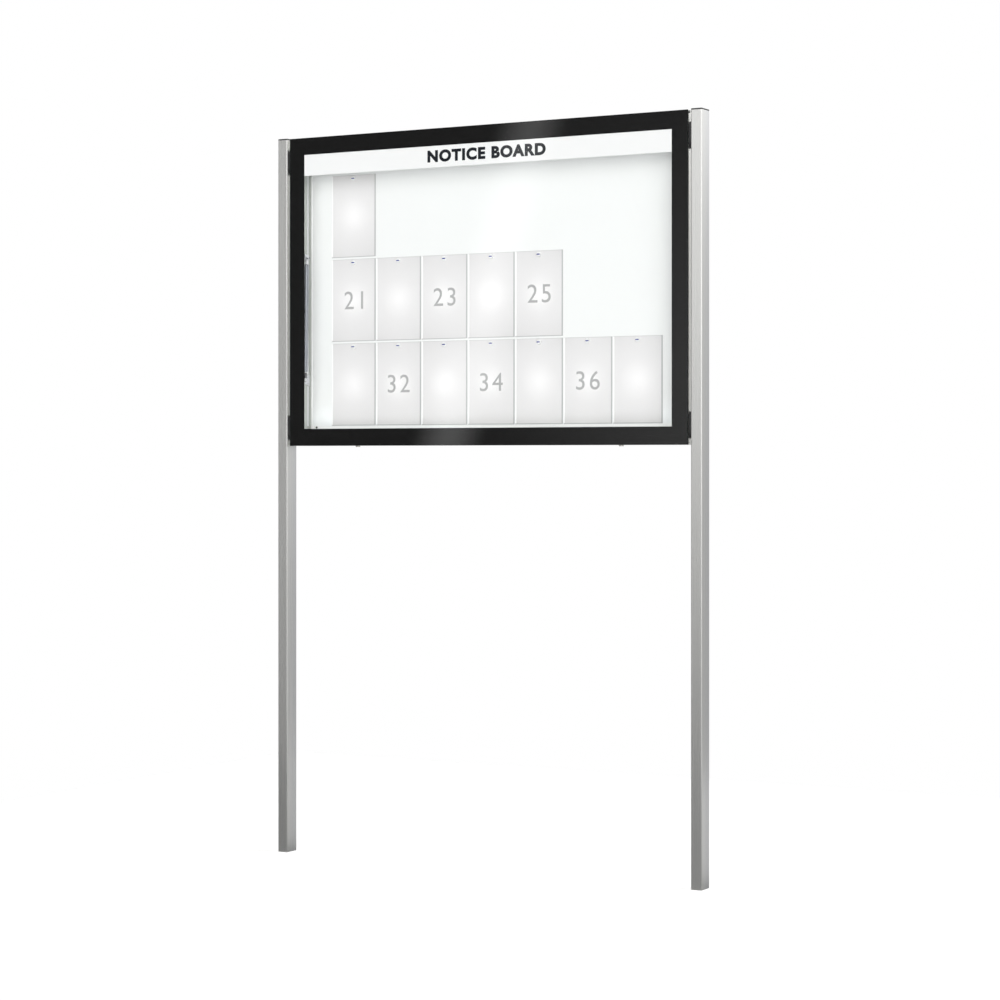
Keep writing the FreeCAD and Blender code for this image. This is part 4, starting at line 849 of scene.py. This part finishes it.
lacquer = mottled("strut_lacquer", [(0.36, 0.375, 0.41), (0.43, 0.445, 0.48)], (0.15, 0.22),
                  stretch=(900, 900, 4), Metallic=1.0)
chrome = plated_steel("hard_chrome", (0.70, 0.70, 0.71), 0.12)
dark_steel = plated_steel("dark_fitting", (0.20, 0.20, 0.21), 0.40)
bright_zinc = plated_steel("bright_zinc", (0.82, 0.82, 0.85), 0.40)
for side in ("left", "right"):
    pivot = np.array(joints[f"rod_swing_{side}"]["pos_m"])
    up = np.array(joints[f"cylinder_slide_{side}"]["axis"])
    strut_axes = np.array([(1, 0, 0), np.cross(up, (1, 0, 0)), up])
    length = (corners_of(f"strut_eye_{side}")[1][2] - EYE_RADIUS - pivot[2]) / up[2]
    end = length - EYE_RADIUS - EYE_NECK

    wall = [(POLE, end), (CYLINDER_RADIUS - 1.1 * ROLLED_IN, end),
            (CYLINDER_RADIUS, end - ROLLED_IN)]
    wall += groove(end - GROOVE_HIGH) + groove(CYLINDER_START + GROOVE_LOW)
    wall += [(CYLINDER_RADIUS, CYLINDER_START + ROLLED_IN),
             (CYLINDER_RADIUS - ROLLED_IN, CYLINDER_START),
             (ROD_RADIUS + RUNNING_FIT, CYLINDER_START),
             (ROD_RADIUS + RUNNING_FIT, CYLINDER_START + CYLINDER_GUIDE),
             (CYLINDER_BORE, CYLINDER_START + CYLINDER_GUIDE),
             (CYLINDER_BORE, end - CYLINDER_BASE), (POLE, end - CYLINDER_BASE)]
    cylinder = skin(f"strut_{side}_cylinder", lacquer, [turned(wall, 40) @ strut_axes + pivot])
    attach(cylinder, f"cylinder_{side}")
    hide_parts(f"strut_cylinder_{side}")

    half = EYE_THICKNESS / 2
    face = [(BORE_RADIUS, half - MOUTH_DEPTH), (MOUTH_RADIUS, half),
            (EYE_RADIUS - EYE_EDGE, half), (EYE_RADIUS, half - EYE_EDGE)]
    ring = face + [(radius, -distance) for radius, distance in face[::-1]]
    fill = [(POLE, FILL_HALF), (FILL_RADIUS, FILL_HALF), (FILL_RADIUS, -FILL_HALF),
            (POLE, -FILL_HALF)]
    neck = [(COLLAR_RADIUS, end - LAP), (COLLAR_RADIUS, end + COLLAR_HEIGHT),
            (NECK_RADIUS, end + COLLAR_HEIGHT + COLLAR_TAPER),
            (NECK_RADIUS, length - EYE_RADIUS + EYE_EDGE)]
    eye_middle = pivot + up * length
    eye = skin(f"strut_{side}_eye", bright_zinc, [turned(neck, 28) @ strut_axes + pivot,
                                                  turned(fill, 28) @ ALONG_X + eye_middle])
    rim = skin(f"strut_{side}_ring", bright_zinc, [turned(ring, 40) @ ALONG_X + eye_middle],
               looped=True)
    for piece in (eye, rim):
        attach(piece, f"cylinder_{side}")
    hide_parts(f"strut_eye_{side}")

    piston = CYLINDER_BORE - RUNNING_FIT
    shaft = [(ROD_RADIUS - ROD_CHAMFER, SOCKET_RADIUS), (ROD_RADIUS, SOCKET_RADIUS + ROD_CHAMFER),
             (ROD_RADIUS, end - PISTON_LOW), (piston, end - PISTON_LOW),
             (piston, end - PISTON_HIGH), (POLE, end - PISTON_HIGH)]
    rod = skin(f"strut_{side}_rod", chrome, [turned(shaft, 32) @ strut_axes + pivot])
    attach(rod, f"rod_{side}")
    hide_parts(f"strut_rod_{side}")

    cup = [(POLE, half), (SOCKET_RADIUS - SOCKET_EDGE, half), (SOCKET_RADIUS, half - SOCKET_EDGE),
           (SOCKET_RADIUS, SOCKET_EDGE - half), (SOCKET_RADIUS - SOCKET_EDGE, -half),
           (POLE, -half)]
    sleeve = [(POLE, SLEEVE_START), (SLEEVE_RADIUS, SLEEVE_START),
              (SLEEVE_RADIUS, SLEEVE_END - SLEEVE_EDGE), (SLEEVE_RADIUS - SLEEVE_EDGE, SLEEVE_END),
              (ROD_RADIUS, SLEEVE_END), (ROD_RADIUS, SLEEVE_END - SLEEVE_BASE),
              (POLE, SLEEVE_END - SLEEVE_BASE)]
    for name, grid, finish in (("cup", turned(cup, 36) @ ALONG_X, bright_steel),
                               ("sleeve", turned(sleeve, 32) @ strut_axes, dark_steel)):
        part = skin(f"strut_{side}_{name}", finish, [grid + pivot])
        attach(part, f"rod_{side}")
        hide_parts(f"strut_socket_{side}")

# Strut brackets: a bright zinc-plated triangle screwed to each side wall, with a stud at its nose,
# and on the door frame a foot with a bent arm that holds the upper stud, a darker pin whose end is
# riveted over.
EAR_THICKNESS = 2.5 * MM
ARM_HALF = 3.2 * MM
ARM_DROP = 0.4 * MM
BOSS_RADIUS = 5.6 * MM
BOSS_EDGE = 0.4 * MM
FOOT_CORNER = 2 * MM
STUD_RADIUS = 4 * MM
STUD_EDGE = 0.6 * MM
STUD_SEAT = 0.1 * MM
RIVETED = ((3.4 * MM, 0.2 * MM), (2.2 * MM, 0.6 * MM), (POLE, 0.7 * MM))
paint(bright_zinc, "strut_bracket_left", "strut_bracket_right")
paint(zinc_plate, "strut_bracket_screws", "door_screws")


def bent_arm(root, tip):
    """A flat arm from a root to a tip: its middle line leaves the root level and reaches the tip by
    a smooth step down, and its edges lie square to that line, at a constant distance."""
    share = np.linspace(0, 1, 13)
    step = share ** 2 * (3 - 2 * share)
    line = root + np.column_stack([share, step]) * (tip - root)
    ahead = np.gradient(line, axis=0)
    square = np.column_stack([-ahead[:, 1], ahead[:, 0]])
    square /= np.linalg.norm(ahead, axis=1)[:, None]
    edges = np.concatenate([line + ARM_HALF * square, (line - ARM_HALF * square)[::-1]])
    return np.array([np.column_stack([np.full(len(edges), x), edges]) for x in (0, EAR_THICKNESS)])


for side, outward in (("left", 1), ("right", -1)):
    low, high = corners_of(f"door_bracket_{side}")
    eye_low, eye_high = corners_of(f"strut_eye_{side}")
    ear_back = high[0] - EAR_THICKNESS if outward > 0 else low[0] + EAR_THICKNESS
    middle = np.array([ear_back, (eye_low[1] + eye_high[1]) / 2, (low[2] + high[2]) / 2])
    arm = bent_arm(np.array([low[1], high[2] - ARM_HALF - ARM_DROP]), middle[1:])
    boss = [(POLE, 0), (BOSS_RADIUS, 0), (BOSS_RADIUS, EAR_THICKNESS - BOSS_EDGE),
            (BOSS_RADIUS - BOSS_EDGE, EAR_THICKNESS), (POLE, EAR_THICKNESS)]
    foot = bar(high[0] - low[0], high[2] - low[2], FOOT_CORNER, [(0, 0), (EAR_THICKNESS, 0)])
    foot = foot[:, :, [0, 2, 1]] + np.array([(low[0] + high[0]) / 2, low[1], middle[2]])
    sideways = np.array([outward, 1, 1])
    bracket = skin(f"door_bracket_{side}_arm", bright_zinc,
                   [arm * sideways + np.array([ear_back, 0, 0]),
                    turned(boss, 36) @ ALONG_X * sideways + middle, foot])
    stud_length = abs(ear_back - (low[0] if outward > 0 else high[0]))
    stud = [(POLE, -stud_length), (STUD_RADIUS - STUD_EDGE, -stud_length),
            (STUD_RADIUS, STUD_EDGE - stud_length), (STUD_RADIUS, STUD_SEAT), (POLE, STUD_SEAT)]
    riveted = [(RIVETED[0][0], EAR_THICKNESS - STUD_SEAT)]
    riveted += [(radius, EAR_THICKNESS + height) for radius, height in RIVETED]
    pin = skin(f"door_bracket_{side}_stud", dark_steel,
               [turned(stud, 32) @ ALONG_X * sideways + middle,
                turned(riveted, 28) @ ALONG_X * sideways + middle])
    for part in (bracket, pin):
        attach(part, "door")
        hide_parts(f"door_bracket_{side}")

# Locks: nickel-plated brass cam locks upright through the foot of the case, key side down. The plug
# with its key slot turns a steel cam behind the lip of a keeper on the door.
nickel = plated_steel("nickel_plate", (0.72, 0.70, 0.66), 0.20)
brass = plated_steel("plug_brass", (0.66, 0.60, 0.44), 0.28)
for side in ("left", "right"):
    paint(nickel, f"lock_barrel_{side}", f"lock_nut_{side}")
    paint(brass, f"lock_plug_{side}")
    paint(zinc_plate, f"lock_cam_{side}", f"cam_screw_{side}", f"lock_keeper_{side}")

# Floor: a plain pale studio floor that takes the soft shadows of the posts. To the camera its own
# pale glow lifts it to the white of the backdrop. Metal and glass mirror it without the glow, and
# darker in front of the board than behind it.
FLOOR_REACH = 2.6
FLOOR_COLOUR = (0.90, 0.90, 0.89, 1)
FLOOR_GLOW = 0.52
MIRRORED_FLOOR = {"From Min": -0.12, "From Max": 0.3, "To Min": 0.28, "To Max": 0.78}
WHITE = (1, 1, 1, 1)

floor_mesh = bpy.data.meshes.new("studio_floor")
corners = ((-1, -1), (1, -1), (1, 1), (-1, 1))
floor_mesh.from_pydata([(x * FLOOR_REACH, y * FLOOR_REACH, 0) for x, y in corners], [],
                       [(0, 1, 2, 3)])
floor = bpy.data.objects.new("studio_floor", floor_mesh)
bpy.context.scene.collection.objects.link(floor)
pale_floor, tree = empty_material("pale_floor")
rays = tree.nodes.new("ShaderNodeLightPath").outputs
matt = put(tree, "BsdfDiffuse", {"Color": FLOOR_COLOUR}).outputs["BSDF"]
glow = put(tree, "Emission", {"Color": WHITE, "Strength": FLOOR_GLOW}).outputs["Emission"]
seen = put(tree, "AddShader", {0: matt, 1: glow}).outputs["Shader"]
grey = put(tree, "MapRange", {"Value": object_axis(tree, "Y"), **MIRRORED_FLOOR})
dim = put(tree, "BsdfDiffuse", {"Color": grey.outputs["Result"]}).outputs["BSDF"]
mirrored = put(tree, "MixShader", {"Fac": rays["Is Glossy Ray"], 1: matt, 2: dim})
choice = put(tree, "MixShader", {"Fac": rays["Is Camera Ray"], 1: mirrored.outputs["Shader"],
                                 2: seen})
put(tree, "OutputMaterial", {"Surface": choice.outputs["Shader"]})
floor_mesh.materials.append(pale_floor)

# Backdrop: white to the camera. Its light comes mostly from the front and right, about level. What
# surfaces mirror is a plain studio: pale behind and overhead, dark at the front left and below,
# with a wide pale screen in front, a soft box right of it and one soft upright strip at its edge.
LIGHT_FROM = (0.38, -0.924, 0.02)
LEAST_LIGHT, MOST_LIGHT = 0.30, 3.40
LIGHT_TINT = (0.995, 0.995, 0.995, 1)
BEHIND = (0.35, 0.94, 0)
BOX_MIDDLE = (0.52, -0.85, 0.08)
SCREEN_EDGE = (0.880, -0.474, 0.0)
SCREEN_MIDDLE = (-0.25, -0.968, 0.0)
STRIP_PLANE = (0.8293, -0.4963, -0.2567)
STRIP_MIDDLE = (-0.49, -0.87, 0.05)
STRIP_WIDTH = 0.0155
ROOM = 0.155

world = bpy.data.worlds.new("studio")
bpy.context.scene.world = world
world.use_nodes = True
tree = world.node_tree
tree.nodes.clear()
rays = tree.nodes.new("ShaderNodeLightPath").outputs
direction = tree.nodes.new("ShaderNodeTexCoord").outputs["Generated"]


def along(axis):
    """The cosine between a direction and an axis."""
    cosine = put(tree, "VectorMath", {0: direction, 1: axis}, operation="DOT_PRODUCT")
    return cosine.outputs["Value"]


def fade(value, low, high, start=0.0, end=1.0):
    """A smooth change from start to end as a value passes from low to high."""
    limits = {"Value": value, "From Min": low, "From Max": high, "To Min": start, "To Max": end}
    return put(tree, "MapRange", limits, interpolation_type="SMOOTHSTEP").outputs["Result"]


def joined(operation, first, *others):
    """The sum or the product of values, by the operation ADD or MULTIPLY."""
    for value in others:
        first = maths(tree, operation, first, value)
    return first


# The limits of each fade are cosines, and its ends are strengths of light.
rise = along((0, 0, 1))
edge = along(SCREEN_EDGE)
heights = joined("ADD", fade(rise, 0.065, 0.175, 0.12, 1.24), fade(rise, -0.06, 0.0, 0.15, 0.0))
pale_behind = joined("MULTIPLY", fade(along(BEHIND), -0.5, 0.6), heights)
overhead = fade(rise, 0.15, 0.8, 0.0, 1.3)
right_box = fade(along(BOX_MIDDLE), 0.88, 0.98, 0.0, 0.9)
screen = joined("MULTIPLY", fade(edge, 0.042, 0.165), fade(edge, 0.30, 0.50, 1.0, 0.6),
                fade(along(SCREEN_MIDDLE), 0.5, 0.9), fade(rise, -0.05, 0.22, 0.0, 1.80))
low_screen = joined("MULTIPLY", fade(edge, -0.045, 0.07), fade(rise, -0.03, 0.0),
                    fade(rise, 0.02, 0.16, 0.75, 0.08))
off_plane = maths(tree, "ABSOLUTE", along(STRIP_PLANE))
strip = joined("MULTIPLY", fade(off_plane, 0.0, STRIP_WIDTH, 1.0, 0.0),
               fade(along(STRIP_MIDDLE), 0.93, 0.99), fade(rise, 0.0, 0.13, 1.95, 1.65))
studio = joined("ADD", pale_behind, ROOM, overhead, screen, right_box, low_screen, strip)
lobe = fade(along(LIGHT_FROM), 0.6, 1.0, LEAST_LIGHT, MOST_LIGHT)
mirror_light = put(tree, "Background", {"Color": WHITE, "Strength": studio})
soft_light = put(tree, "Background", {"Color": LIGHT_TINT, "Strength": lobe})
backdrop = put(tree, "Background", {"Color": WHITE, "Strength": 1.0})
lit = put(tree, "MixShader", {"Fac": rays["Is Glossy Ray"], 1: soft_light.outputs["Background"],
                              2: mirror_light.outputs["Background"]})
choice = put(tree, "MixShader", {"Fac": rays["Is Camera Ray"], 1: lit.outputs["Shader"],
                                 2: backdrop.outputs["Background"]})
put(tree, "OutputWorld", {"Surface": choice.outputs["Shader"]})

# Side lamp: one wide soft box high up on the right, which lays the short soft shadows of the feet
# and isn't seen or mirrored itself.
LAMP_PLACE = (5.0, 2.8, 4.0)
LAMP_WIDTH, LAMP_HEIGHT = 3.2, 2.6
LAMP_POWER = 150
key_data = bpy.data.lights.new("key", "AREA")
key_data.shape = "RECTANGLE"
key_data.size = LAMP_WIDTH
key_data.size_y = LAMP_HEIGHT
key_data.energy = LAMP_POWER
key = bpy.data.objects.new("key", key_data)
key.location = LAMP_PLACE
key.rotation_euler = key.location.to_track_quat("Z", "Y").to_euler()
key.visible_camera = False
key.visible_glossy = False
bpy.context.scene.collection.objects.link(key)

view_settings = bpy.context.scene.view_settings
view_settings.view_transform = "Standard"
